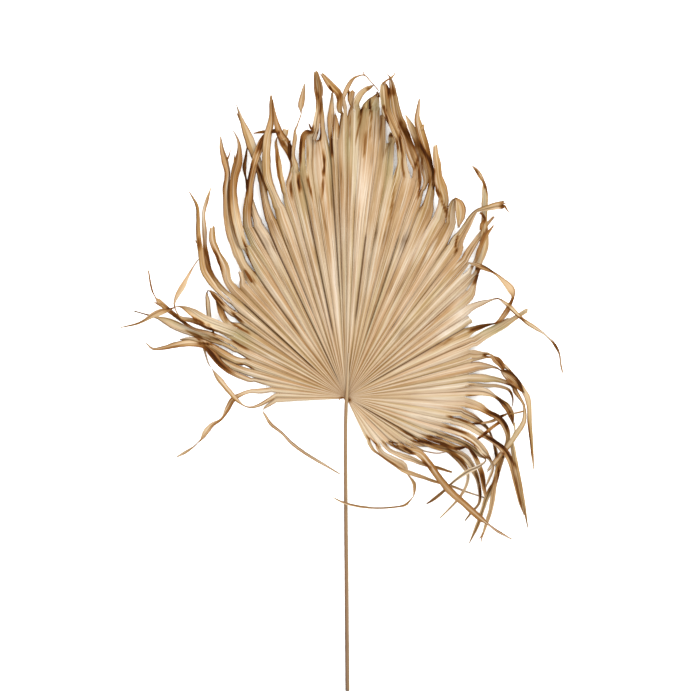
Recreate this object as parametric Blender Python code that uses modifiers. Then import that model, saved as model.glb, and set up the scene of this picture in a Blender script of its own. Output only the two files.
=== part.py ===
"""Dried palm frond, lying flat with its back face up.

One fan of narrow pleats runs out from the head of a long stalk.  Past the rim the pleats part into
free fingers, one to three pleat faces wide, that twist, fold back or hang over their neighbours.

Frame: origin on the surface under the head of the stalk, +Y towards the tip of the fan,
+X to the right seen from above, +Z up.  Lengths are in millimetres, bearings in degrees
anticlockwise from +X, and the scene itself is in metres.
"""
import math

import bmesh
import bpy
from mathutils import Matrix, Vector

MM = 0.001

# Leaf
LEAF_THICKNESS = 0.8
HUB_RADIUS = 7.0
FLAT_RADIUS = 10.0
HUB_LIP_RADIUS = 4.5
HUB_LIP_SIDES = 6
LEFT_EDGE = 184.5
LEFT_EDGE_RADIUS = 103.0
FAN_RADII = (18.0, 38.0, 70.0, 110.0, 155.0, 205.0, 255.0, 305.0, 355.0, 400.0)
RADIUS_CLEARANCE = 11.0
DOME_RISE = 0.04
CREASE_SLOPE = 0.0108
CREASE_LIMIT = 2.2
OVER_RIM = 1.3
FREE_CREASE = 0.14
TIP_WIDTH = 1.0
SPLIT_OPENING = 0.16
FINGER_STEP = 24.0
TWIST_STEP = 60.0
CURVE_SAMPLES = 14

# Outline of the joined part of the fan: bearing, radius
RIM = (
    (-65.0, 68.0), (-45.0, 92.0), (-30.0, 122.0), (-10.0, 165.0), (10.0, 187.0), (30.0, 210.0),
    (50.0, 265.0), (70.0, 335.0), (80.0, 395.0), (90.0, 425.0), (105.0, 345.0), (120.0, 285.0),
    (135.0, 228.0), (145.0, 195.0), (160.0, 160.0), (184.5, 105.0),
)
# Height of that outline over the surface: it touches down on the left, at the top and on the right
RIM_LIFT = (
    (-65.0, 5.0), (-30.0, 0.0), (15.0, 8.0), (55.0, 10.0), (92.0, 0.0), (130.0, 9.0),
    (165.0, 0.0), (184.5, 4.0),
)

# Stalk: distance along Y, centre across X, width, height
STALK = (
    (-441.0, 2.3, 6.4, 5.2), (-430.0, 2.1, 6.4, 5.2), (-350.0, 1.4, 6.2, 5.0),
    (-260.0, 0.8, 6.0, 4.9), (-200.0, 0.0, 5.9, 4.8), (-100.0, -0.5, 5.6, 4.6),
    (-40.0, 0.2, 5.5, 4.4), (-12.0, 0.3, 5.6, 4.2), (-4.0, 0.7, 5.6, 4.0),
    (4.0, 1.2, 5.0, 3.6), (14.0, 1.8, 4.2, 2.8), (28.0, 2.6, 3.6, 2.2), (46.0, 3.3, 2.8, 1.6),
    (66.0, 3.8, 1.6, 1.1),
)
STALK_BEARING = 90.0
STALK_SIDES = 12
STALK_GAP = 0.3
KEEL_START = 0.9
SHOULDER_HEIGHT = 0.88

# Plain colours and roughness
LEAF_COLOUR = (0.66, 0.47, 0.28)
LEAF_ROUGHNESS = 0.75
STALK_COLOUR = (0.40, 0.26, 0.12)
STALK_ROUGHNESS = 0.6

# Free fingers from the left edge round to the right edge.  Each one has the bearing of its
# right-hand side, how many pleat panels wide it is, the radius where that side parts from the
# next finger, and its way beyond the rim as points (x, y, height, width, roll).
FINGERS = (
    (180.6, 2, 105, (
        (-118, -13, 5, 5, 20), (-125, -20, 8, 4, 90), (-120, -29, 8, 4, 160), (-112, -41, 8, 5, 180),
        (-96, -54, 8, 4, 180), (-80, -70, 9, 5, 190), (-58, -86, 9, 5, 200), (-35, -100, 8, 4, 180),
        (-8, -116, 6, 1.5, 180))),
    (176.6, 2, 104, (
        (-117, -5, 10, 6, 0), (-130, -12, 15, 5, 0), (-142, -15, 20, 4, 40), (-153, -12, 22, 5, 70),
        (-166, -1, 22, 7, 20), (-180, 15, 20, 8, 0), (-190, 27, 18, 8, 0), (-200, 42, 12, 3, 80),
        (-206, 50, 9, 2.5, 150), (-210, 62, 7, 2.5, 180), (-213, 74, 5, 3, 180),
        (-213, 80, 5, 1.5, 180))),
    (172.3, 2, 112, (
        (-130, 9, 9, 8, 0), (-144, 9, 9, 6, 20), (-158, 4, 9, 7, 30), (-169, -3, 9, 8, 10),
        (-178, -18, 8, 8, 20), (-187, -32, 8, 6, 60), (-201, -41, 8, 7, 20), (-210, -52, 9, 9, 0),
        (-222, -68, 9, 5, 80), (-240, -82, 8, 5, 150), (-254, -90, 6, 1.5, 180))),
    (168.2, 2, 140, (
        (-150, 28, 8, 8, 0), (-170, 37, 12, 9, 20), (-187, 50, 19, 11, 30), (-198, 65, 25, 13, 30),
        (-213, 77, 29, 10, 60), (-233, 80, 30, 9, 20), (-255, 78, 29, 9, 0), (-270, 73, 27, 7, 30),
        (-290, 73, 25, 5, 60), (-299, 81, 24, 1.5, 60))),
    (163.4, 2, 146, (
        (-162, 43, 5, 10, 0), (-177, 50, 6, 10, 0), (-190, 60, 8, 3, 20))),
    (158.7, 2, 160, (
        (-167, 56, 8, 11, 0), (-184, 65, 12, 12, 0), (-200, 75, 15, 10, 0), (-217, 84, 17, 8, 20),
        (-233, 88, 17, 6, 30), (-250, 86, 17, 2, 20))),
    (156.1, 1, 176, (
        (-179, 77, 5, 6, 0), (-195, 84, 5, 9, 0), (-215, 92, 6, 11, 0), (-232, 98, 8, 12, 10),
        (-246, 103, 10, 13, 0), (-259, 109, 11, 13, 0), (-271, 114.5, 11, 10, 0), (-283, 119, 11, 5, 30),
        (-300, 124, 10, 2.5, 30), (-318, 129, 8, 1.5, 0))),
    (153.6, 1, 190, (
        (-191, 90.5, 12, 6, 0), (-206, 96, 14, 6, 0), (-225, 101, 16, 5, 0), (-240, 110, 17, 5, 20),
        (-255, 122, 17, 7, 20), (-268, 132.5, 17, 8, 0), (-281, 144, 16, 7.5, 10),
        (-285, 149, 15, 2, 30), (-291, 162, 14, 1.6, 60), (-296, 190, 12, 1.2, 60))),
    (151.6, 1, 190, (
        (-187, 98, 9, 5.5, 0), (-205, 104, 14, 7, 0), (-218, 110, 18, 8, 30), (-231, 115, 21, 8, 20),
        (-243, 117.5, 23, 7, 30), (-250, 122, 24, 2.5, 80), (-256, 134, 24, 1.8, 90),
        (-256, 143, 24, 4, 60), (-251, 155, 24, 8, 20), (-244, 166, 24, 9, 10), (-237, 180, 23, 5, 10),
        (-229, 194, 22, 2, 0), (-221, 206, 22, 1.2, 0))),
    (147.5, 2, 192, (
        (-185, 105, 18, 13, 0), (-201, 111, 25, 15, 0), (-216, 118, 30, 15, 0), (-229, 127, 33, 13, -20),
        (-240, 133.5, 34, 9, -40), (-250, 136, 34, 4.5, -70), (-257, 134, 34, 2.5, -100),
        (-265, 131, 34, 6, -140), (-276, 128, 33, 10, -160), (-290, 122, 31, 7.5, -180),
        (-302, 114.5, 28, 4, -180), (-315, 109, 25, 3.5, -180), (-338, 104, 21, 1.5, -180))),
    (145.0, 1, 194, (
        (-173, 109, 10, 8, 0), (-183, 118, 12, 10, 20), (-189, 134, 12, 10, 30),
        (-196, 150, 11, 2, 40))),
    (141.8, 2, 205, (
        (-178, 132, 14, 10, 0), (-194, 150, 21, 9, 20), (-204, 160, 25, 6, 70), (-209, 155, 25, 6, 110),
        (-207, 143, 20, 7, 160), (-206, 130, 14, 7, 180), (-204, 115, 9, 6, 180),
        (-198, 95, 5, 2, 190))),
    (139.9, 1, 222, (
        (-190, 157, 20, 6, 0), (-203, 173, 23, 9, 20), (-213, 190, 25, 10, 30),
        (-217.5, 215, 26, 10, 30), (-221, 250, 26, 7, 20), (-222, 282, 26, 6, 30),
        (-230, 300, 25, 5, 60), (-244, 321, 23, 1.5, 90))),
    (138.0, 1, 230, (
        (-182, 159, 12, 7, 0), (-194, 171, 13, 9, 0), (-204, 188, 14, 9, -20), (-208, 205, 14, 9, -30),
        (-211, 225, 14, 7, -20), (-212, 250, 14, 7, 0), (-213, 275, 15, 6, 20), (-208, 295, 14, 6, 30),
        (-202, 315, 12, 1.5, 60))),
    (134.4, 2, 228, (
        (-177, 174, 17, 12, 0), (-181, 195, 21, 15, 10), (-190, 213, 22, 12, 30),
        (-199, 234, 22, 11, 20), (-200, 254, 21, 8, 0))),
    (131.0, 2, 225, (
        (-155, 176, 16, 7, 0), (-158, 187, 18, 7, 0))),
    (126.0, 2, 232, (
        (-155, 200, 9, 13, 0), (-165, 225, 9, 16, 0), (-174, 255, 9, 15, 10), (-178, 285, 10, 12, 10),
        (-179, 312, 10, 9, 20), (-177, 335, 11, 9, 30), (-181, 354, 12, 11, 20), (-186, 372, 12, 7, 10),
        (-188, 391, 11, 1.5, 0))),
    (122.2, 2, 268, (
        (-154, 228, 16, 13, 0), (-162, 255, 21, 14, 0), (-167, 285, 22, 14, 10), (-169, 310, 22, 12, 20),
        (-167, 332, 22, 13, -10), (-162, 350, 22, 13, -10), (-160, 366, 22, 9, -30),
        (-161, 380, 22, 6, -50), (-166, 393, 21, 4, -70), (-172, 402, 20, 1.5, -80))),
    (118.6, 2, 290, (
        (-148, 275, 16, 13, 0), (-145, 300, 22, 13, -10), (-143, 320, 25, 12, -20),
        (-139, 340, 27, 11, -10), (-134, 358, 27, 11, 0), (-128, 376, 25, 11, 20),
        (-122, 390, 19, 9, 40), (-115, 396, 12, 8, 90), (-104, 398, 9, 10, 150))),
    (115.0, 2, 270, (
        (-137, 275, 11, 10, 0), (-145, 305, 11, 8, 10), (-150, 328, 11, 3, 20), (-152, 344, 10, 6.5, 20),
        (-150, 358, 9, 5, 30), (-147.5, 378, 8, 1.5, 30))),
    (111.4, 2, 285, (
        (-121, 294, 11, 11, 0), (-126, 330, 15, 13, 0), (-133, 355, 16, 13, 0), (-140, 372, 17, 14, 10),
        (-147, 392, 18, 13, 10), (-157, 418, 18, 7, 40), (-164, 438, 17, 1.5, 60))),
    (107.8, 2, 300, (
        (-109, 305, 19, 12, 0), (-117, 325, 23, 13, 0), (-119, 345, 25, 13, 0), (-119, 365, 26, 12, 0),
        (-117, 388, 26, 12, 10), (-113, 405, 25, 11, 20), (-111.5, 420, 24, 8, 30),
        (-112, 436, 24, 6, 20), (-112, 453, 22, 3, 0))),
    (106.2, 1, 318, (
        (-95, 319, 15, 8, 0), (-99, 335, 16, 9, 10), (-101, 352, 18, 9, 10), (-103.5, 370, 20, 6, 30),
        (-105, 381, 21, 6, 60), (-102, 390, 23, 4, 110), (-98, 381, 25, 3, 150))),
    (104.6, 1, 330, (
        (-89, 330, 4.5, 5, 0), (-87, 344, 3.5, 5.5, 0), (-85, 356, 4.5, 8.5, 0), (-87, 369, 8, 13, -10),
        (-92.5, 380, 12, 13.5, -15), (-98.5, 393, 18, 12, -10), (-103.5, 407, 19, 8.5, -10),
        (-107, 422, 19, 6, 0), (-110, 445, 18, 2, 0))),
    (101.6, 2, 345, (
        (-76, 346, 15.5, 9, 0), (-79, 360, 17, 7, 20), (-78, 374, 19, 7, 30), (-76, 388, 19, 8, 40),
        (-76, 398, 20, 6, 60), (-72, 408, 21, 4, 60), (-67, 424, 22, 5, 90), (-67, 440, 22, 10, 180),
        (-64, 458, 22, 6, 190), (-62, 469, 21, 1.5, 180))),
    (99.9, 1, 345, (
        (-66, 360, 10, 10, 0), (-65, 382, 14, 9, 0), (-61, 395, 21, 9, 20), (-51, 398, 27, 9, 60))),
    (96.0, 2, 388, (
        (-51, 398, 16, 12, 0), (-47, 414, 17, 9.5, 10), (-44, 430, 18, 8, 20), (-42.5, 444, 18, 8, 40),
        (-42, 458, 19, 12, 20), (-43, 472, 20, 11, 10), (-46, 488, 20, 4, 10))),
    (93.9, 1, 379, (
        (-35, 400, 9, 8, 0), (-36, 418, 9, 7, 0), (-36.5, 432, 9, 5, 10), (-36, 448, 9, 1.5, 20))),
    (92.9, 1, 385, (
        (-24, 400, 8, 7, 0), (-23, 418, 10, 11, 0), (-22, 432, 11, 8, 0), (-21, 446, 12, 5, 10),
        (-20.5, 457, 12, 3, 20))),
    (91.9, 1, 385, (
        (-16, 392, 7, 6.5, 0), (-16, 398, 7, 7, 0))),
    (90.4, 1, 425, (
        (-10, 434, 15, 9, 0), (-9, 446, 19, 10, 10), (-12, 455, 24, 12, 30), (-20, 463, 29, 13, 20),
        (-29, 474, 32, 9, 10), (-37, 484, 33, 4, 0))),
    (89.7, 1, 421, (
        (-2, 436, 11, 6, 0), (-4, 447, 16, 5, 10), (-1, 456, 19, 7, 20), (4, 467, 24, 7, 30),
        (11, 476.5, 28, 5, 40), (20, 480.5, 30, 3.5, 50), (28, 481.5, 30, 2.5, 60),
        (35, 474, 30, 1.8, 60), (43, 465, 30, 1.5, 60), (50, 457, 30, 1.3, 60))),
    (88.4, 1, 428, (
        (9, 436, 8, 5, 0), (7, 445, 10, 9, -10), (8, 459, 13, 11, 0))),
    (87.1, 1, 431, (
        (15, 440, 14, 10, 0), (19, 450, 16, 10, 10), (26, 458, 17, 9, 20), (34, 463, 18, 8, 30),
        (42, 466, 18, 3, 40))),
    (83.1, 2, 425, (
        (39, 437, 13, 22, 0), (44, 446, 17, 13, 10), (49, 456, 18, 3, 10))),
    (81.1, 1, 385, (
        (56, 430, 9, 7, 0), (54.5, 438, 10, 1.5, 0))),
    (78.0, 2, 350, (
        (67.5, 388, 12, 9, 0), (68, 397, 13, 5, 0))),
    (73.5, 2, 341, (
        (84, 353, 12, 14, 0), (82, 368, 19, 13, 0), (79, 384, 24, 12, 0), (73, 400, 26, 12, 0),
        (66, 416, 26, 12, 0), (61, 432, 27, 11, -10), (57.5, 447, 28, 10, 0), (56, 460, 29, 9, 10),
        (54.5, 470, 29, 6, 10))),
    (70.3, 2, 329, (
        (106, 341, 14, 12, 0), (101, 356, 15, 15, 0), (95, 373, 16, 16, 0), (89, 390, 17, 16.5, 0),
        (82, 407, 17, 16, 0), (76, 423, 18, 15, 0), (73, 438, 19, 13, 0), (70.5, 453, 20, 11, 10),
        (68.5, 467, 21, 9, 20), (66, 479, 21, 3, 20))),
    (68.7, 1, 305, (
        (120, 324, 10, 8, 0), (118, 340, 12, 12, 0), (113, 357, 14, 12, 0), (108, 374, 15, 9, 0),
        (104, 388, 16, 9, 0), (98, 404, 17, 9, 0), (89, 423, 17, 1.5, 20))),
    (64.4, 2, 294, (
        (124, 293, 12, 14, 0), (127, 308, 16, 11, 0), (128.5, 324, 22, 10, 0), (126, 343, 26, 11, 0),
        (121, 362, 28, 12, 0), (115, 382, 29, 14, 0), (110, 400, 29, 13, 0), (107, 416, 28, 9, 10),
        (108, 430, 27, 6, 20), (110.5, 446, 26, 4, 30))),
    (60.4, 2, 301, (
        (144, 282, 16, 16, 0), (146.5, 297, 24, 16, 10), (142, 313, 31, 17, 0), (138, 330, 35, 12.5, 0),
        (136.5, 346, 35, 12, 0), (134.5, 361, 34, 9.5, 0), (133.5, 377, 32, 6, 0))),
    (56.5, 2, 275, (
        (157, 270, 14, 13, 0), (159, 286, 20, 11, 20), (163, 297, 28, 10, 80), (169, 288, 33, 15, 150),
        (171, 272, 32, 15, 180), (168, 254, 29, 2, 190))),
    (50.6, 3, 264, (
        (166, 232, 11, 20, 0), (174, 245, 14, 14, 0), (182, 259, 19, 11, 10), (189, 271, 24, 8, 30),
        (195, 278.5, 28, 6, 60), (203, 281, 30, 8, 60), (214, 283.5, 30, 9, 30), (226, 286.5, 29, 11, 0),
        (237, 288, 28, 12, 0))),
    (47.9, 1, 272, (
        (186, 221, 12, 11, 0), (194, 233, 13, 9, 0), (202, 243, 13, 9, 0), (208, 254, 13, 7, 10),
        (214, 262, 13, 5, 20), (222, 271, 13, 3.5, 0))),
    (46.5, 1, 251, (
        (192, 199, 21, 5, 10), (200, 195.5, 29, 8, 10), (210, 191.5, 33, 7, 20), (220, 186.5, 32, 3, 60),
        (225, 183, 31, 3, 60), (232, 177, 30, 6, 0), (241, 168, 30, 10, 0), (247, 160, 30, 12, 0),
        (250, 152, 30, 5, 60), (248.5, 146, 29, 4, 90), (245, 138, 28, 6, 120), (240, 128, 27, 9, 160),
        (230, 115, 25, 6, 180), (221, 109, 23, 1.5, 180))),
    (44.4, 1, 262, (
        (188.5, 195, 12.5, 4.5, 0), (195, 206, 16, 6, 0), (199, 219, 24, 7, 0), (205, 233, 28, 6, 10),
        (211, 244, 29, 5.5, 20), (217, 252, 28, 3.5, 30), (221.5, 257.5, 27, 2.5, 0))),
    (41.7, 2, 240, (
        (197, 189.5, 10, 8, 0), (199, 202, 9, 10, 0), (204, 216, 12, 13, 0), (207, 229, 16, 14, 0),
        (208, 245, 19, 11, 0), (207, 262, 20, 9.5, 10), (207.5, 282, 19, 10, 0), (208, 298, 21, 10, 0),
        (207.5, 311, 25, 8, 10), (206.5, 321, 27, 5.5, 30), (201, 331, 27, 7, 10),
        (194.5, 340, 26, 5, 0), (187, 347, 25, 1.2, 0))),
    (37.2, 2, 228, (
        (189, 161, 14, 11, 0), (193, 172, 17, 7, 20), (197, 182, 19, 5, 30), (199, 191, 19, 2, 60))),
    (33.7, 2, 214, (
        (191, 136, 14, 10, 0), (201, 140, 20, 8, 0), (211, 143, 28, 5, 20), (220, 146, 34, 2.5, 60),
        (228, 147, 37, 3, 90), (235, 142, 38, 4.5, 140), (243, 136, 39, 7, 160),
        (255, 124.5, 39, 6, 180), (263, 117, 39, 5, 180), (272, 110, 38, 6.5, 180),
        (284, 102.5, 36, 6, 190), (294, 96, 35, 3.5, 220), (301, 90, 33, 2, 260), (309, 82, 32, 4, 320),
        (315, 73, 31, 4.5, 340), (319, 64, 30, 2.5, 360), (321, 50, 27, 2.5, 360),
        (322.5, 42, 26, 2.5, 360), (324.5, 35, 25, 1.2, 360))),
    (30.2, 2, 205, (
        (186.5, 117, 10, 12, 0),)),
    (25.9, 1, 205, (
        (191, 101.5, 13, 9, 0), (203, 105.5, 17, 7.5, 10), (213, 108.3, 20, 5, 30),
        (223, 110.5, 21, 3.5, 40), (234, 114.5, 21, 3, 40), (242, 118, 20, 1.5, 40))),
    (21.2, 2, 196, (
        (194, 84, 10, 15, 0), (206, 92.5, 12, 14, 0), (220, 100, 12, 13, 0), (234, 107.5, 12, 12, 10),
        (246, 115, 12, 9.5, 20), (257, 121.5, 13, 7, 10), (271, 130, 14, 6.5, 0))),
    (17.2, 2, 190, (
        (196, 64, 14, 12, 0), (206, 64.5, 20, 7, 0), (213, 65.5, 26, 6, 40), (219, 63, 31, 11, 100),
        (225, 56, 33, 13, 160), (232, 48, 32, 10, 180), (236, 41, 31, 6, 180))),
    (15.6, 1, 190, (
        (195, 57, 11, 5, 0), (212, 60, 13, 4, 0), (225, 56.5, 15, 4, 0), (235, 49, 17, 5, 0),
        (243, 41, 18, 5, 0), (254, 27.5, 19, 6, 0), (264, 13, 20, 7, 0), (271, 0, 21, 9, 10),
        (274, -15, 22, 7, 10), (275, -40, 22, 7, 10), (277, -62, 21, 6, 20), (279, -85, 20, 4.5, 20),
        (281, -109, 20, 1.5, 30))),
    (10.6, 2, 185, (
        (196, 46, 11, 14, 0), (208, 46, 14, 10, 0), (219, 45, 18, 5, 30), (228, 42, 22, 5, 60),
        (237, 36, 25, 11, 160), (247, 29, 26, 15, 180), (255, 21, 25, 12, 180), (261, 12, 24, 6, 180),
        (265, 7, 23, 2, 180))),
    (7.0, 2, 182, (
        (200, 28.5, 11.5, 12, 0), (213, 27.5, 13, 11, 0), (223, 27, 13, 8, 0), (233, 24, 15, 7, 20),
        (242, 20.5, 17, 7, 40), (249, 16, 19, 8, 60), (254, 8, 21, 7, 10), (261, -3, 23, 5, 20),
        (265.5, -12, 24, 4.5, 30), (267, -27, 23, 6, 20), (264.5, -40, 23, 7.5, 0), (255, -55, 22, 8, 0),
        (245, -70, 21, 8, 0), (235, -82, 21, 7.5, 0), (223, -97, 20, 7, 0), (212, -110, 17, 2, 0))),
    (5.3, 1, 180, (
        (200, 18, 5.5, 5, 0), (212, 17, 5, 5, 0), (226, 16.5, 6, 5, 0), (243, 11.5, 8, 4.5, 0),
        (249, 2, 9, 4, 40), (249.5, -12, 10, 4, 80), (243, -24, 11, 4, 120), (232, -29, 12, 4, 180),
        (220, -35.5, 12, 4.5, 180), (205, -39, 13, 3.5, 180), (190, -40, 13, 3, 180))),
    (0.2, 2, 177, (
        (198, 9, 11, 14, 0), (211, 7, 13, 11, 0), (222, 2, 16, 6, 20), (231, -4, 20, 8, 40),
        (240, -13, 22, 10, 20), (247, -25, 22, 10, 10), (250, -38, 21, 6, 60), (253, -49, 17, 3, 90),
        (249, -63, 12, 6, 120), (250.5, -78, 11, 7, 180), (255, -105, 10, 8, 180),
        (262, -140, 9, 7, 190), (268, -170, 8, 4.5, 180), (273, -198, 6, 1.2, 180))),
    (-5.0, 2, 174, (
        (198, -14, 13, 13, 0), (214, -23, 18, 9, 30), (228, -31, 21, 9.5, 20), (237, -42, 20, 9.5, 10),
        (242, -54, 17, 8, 10), (242, -67, 15, 6, 20), (235, -88, 13, 7, 20), (228, -108, 14, 8, 10),
        (223, -130, 15, 7, 10), (220, -150, 15, 8, 20), (217, -168, 15, 7, 10), (210, -190, 14, 5.5, 0),
        (203, -213, 12, 1.5, 0))),
    (-10.2, 2, 160, (
        (188, -30, 8, 12, 0), (203, -38, 8, 7, 20), (213, -47, 8, 5.5, 40), (219, -60, 8, 4.5, 50),
        (224, -78, 7, 5.5, 30), (227, -95, 7, 6, 20), (227, -112, 7, 8, 10), (222, -130, 7, 8, 10),
        (212, -148, 7, 8, 0), (206, -165, 7, 6, 10), (197, -192, 6, 6, 10), (185, -219, 5, 1.5, 10))),
    (-14.8, 2, 147, (
        (180, -41, 14, 12, 0), (205, -56, 24, 9, 0), (222, -66, 29, 9.5, 30), (237, -80, 31, 10.5, 10),
        (246, -97, 27, 8, 10), (253, -128, 22, 5, 20), (260, -155, 18, 5, 10),
        (267, -177, 15, 1.5, 10))),
    (-19.6, 2, 145, (
        (170, -53, 14, 11, 0), (191, -64, 21, 11.5, 0), (207, -82, 24, 11.5, 10), (216, -93, 26, 7, 50),
        (220, -106, 26, 4.5, 30), (214, -122, 26, 4, 0), (209, -134, 25, 1.5, 0))),
    (-24.2, 2, 135, (
        (158, -62, 8, 9, 0), (180, -71, 11, 9, 0), (199, -85, 14, 8.5, 10), (208, -90, 18, 6, 60),
        (208, -97, 23, 4.5, 110), (196, -105, 26, 5, 180), (185, -110, 25, 6.5, 180),
        (172, -118, 23, 5.5, 180), (158, -129, 21, 3.5, 180), (146, -141, 17, 4.5, 180),
        (132, -152.5, 13, 5, 180), (124, -158, 11, 3, 180), (118, -161, 10, 1.2, 180))),
    (-28.2, 2, 124, (
        (150, -70, 15, 8, 0), (167, -76, 20, 7, 20), (181, -74, 22, 5.5, 90), (190, -84, 22, 6, 160),
        (197, -98, 21, 7, 180), (203, -115, 20, 8, 190), (207, -138, 18, 6, 180),
        (209, -151, 17, 2, 180))),
    (-32.2, 2, 117, (
        (133, -74, 10, 9, 0), (158, -80, 11, 10.5, 0), (178, -90, 12, 11.5, 0),
        (189, -104, 12, 10.5, 10), (197, -122, 11, 7, 10), (201, -145, 10, 5.5, 20),
        (199, -160, 10, 4.5, 20), (188, -173, 9, 4, 10), (177, -187, 8, 1.5, 0))),
    (-36.2, 2, 110, (
        (113, -76, 3.5, 7, 0), (127, -81, 4, 8, 0), (150, -85, 5, 8, 20), (165, -92, 6, 9, 10),
        (177, -103, 6, 8, 10), (183, -116, 6, 5.5, 30), (181, -131, 7, 4.5, 20), (172, -148, 8, 4, 0),
        (158, -164, 8, 3, 0), (141, -181, 7, 2, 0))),
    (-39.8, 1, 102, (
        (108, -77, 11, 4, 0), (118, -81, 13, 2, 30), (136, -84, 15, 2, 40), (150, -82, 15, 1.2, 40))),
    (-44.6, 2, 93, (
        (92, -78.5, 16, 8.5, 0), (110, -84.5, 24, 11, 0), (124, -100, 27, 10.5, 10),
        (138.5, -120, 29, 10.5, 0), (154, -139, 30, 11, 0), (170, -153.5, 30, 10.5, 0),
        (185, -167, 30, 10, 0), (200, -180, 30, 9, 0), (211, -189, 29, 4, 30),
        (225, -199.5, 27, 3.5, 60), (235, -205.5, 24, 3.5, 60), (249, -213, 22, 1.2, 60))),
    (-48.8, 1, 88, (
        (74, -75, 3, 5, 0), (84, -79.5, 3.5, 7, 0), (93, -82.5, 4, 7.5, 10), (104, -86, 5, 3, 20))),
    (-53.6, 2, 84, (
        (66, -79, 9, 8, 0), (85, -88, 11, 9, 0), (102, -94, 12, 9, 0), (118, -101, 12, 6, 10),
        (138, -106, 10, 4, 10), (160, -113, 10, 2.5, 10))),
    (-59.6, 2, 72, (
        (54, -83, 5, 9, 0), (70, -93, 6, 12, 0), (85, -102, 7, 12, 10), (90, -110, 7, 7, 20),
        (92, -115, 7, 3, 30), (97, -121, 7, 4, 30), (103, -130, 7, 7, 30), (103, -140, 8, 6, 40),
        (101, -149, 9, 1.5, 60), (96, -155, 9, 4, 60), (90, -161, 9, 5.5, 60), (80, -164, 9, 3.5, 70),
        (50, -166.5, 10, 3.5, 60), (20, -164, 12, 4, 40), (-4, -158, 13, 3.5, 60),
        (-20, -150, 11, 1.5, 60))),
    (-65.0, 2, 66, (
        (34, -67, 6, 5.5, 0), (41, -79, 8, 5, 20), (50, -86, 10, 3, 40), (62, -95, 11, 2.5, 60),
        (74, -103, 12, 3, 60), (86, -110, 13, 6, 20), (100, -115, 14, 6.5, 0), (118, -121, 13, 5.5, 0),
        (135, -127, 11, 4.5, 10), (150, -131, 8, 4, 20), (163, -135, 6, 4.5, 20),
        (180, -141.5, 3, 3.5, 30), (214, -153, 2.5, 1.2, 30))),
)


def between(table, where):
    """Straight-line reading of a table of (place, value) rows sorted by place."""
    if where <= table[0][0]:
        return table[0][1]
    for (x0, y0), (x1, y1) in zip(table, table[1:]):
        if where <= x1:
            return y0 + (y1 - y0) * (where - x0) / (x1 - x0)
    return table[-1][1]


def dome(radius, bearing):
    """Height of the leaf's middle surface, without its creases."""
    rim = between(RIM, bearing)
    out = max(0.0, radius - FLAT_RADIUS) / (rim - FLAT_RADIUS)
    rise = DOME_RISE * rim * math.sin(math.pi * min(out, 1.0))
    rim_height = crease_height(rim) + between(RIM_LIFT, bearing)
    return LEAF_THICKNESS / 2 + rise + rim_height * min(out, OVER_RIM) ** 2


def crease_height(radius):
    """Half the height between a ridge and the valley next to it."""
    return min(CREASE_SLOPE * max(0.0, radius - FLAT_RADIUS), CREASE_LIMIT)


def crease(line):
    """+1 on a ridge (odd crease lines), -1 in a valley (even ones), straight between them."""
    low = math.floor(line)
    side = 1.0 if low % 2 else -1.0
    return side * (1.0 - 2.0 * (line - low))


def polar(radius, bearing, height):
    turn = math.radians(bearing)
    return Vector((radius * math.cos(turn), radius * math.sin(turn), height))


def curve_through(points):
    """Smooth curve through the points, as rows (distance, point); points hold any number of values."""
    ends = [2 * points[0] - points[1]] + points + [2 * points[-1] - points[-2]]
    rows = []
    distance = 0.0
    last = None
    for before, start, end, after in zip(ends, ends[1:], ends[2:], ends[3:]):
        for step in range(CURVE_SAMPLES):
            t = step / CURVE_SAMPLES
            here = 0.5 * (2 * start + (end - before) * t
                          + (2 * before - 5 * start + 4 * end - after) * t ** 2
                          + (3 * start - before - 3 * end + after) * t ** 3)
            if last is not None:
                distance += (here.xyz - last.xyz).length
            rows.append((distance, here))
            last = here
    distance += (points[-1].xyz - last.xyz).length
    rows.append((distance, points[-1]))
    return rows


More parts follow.
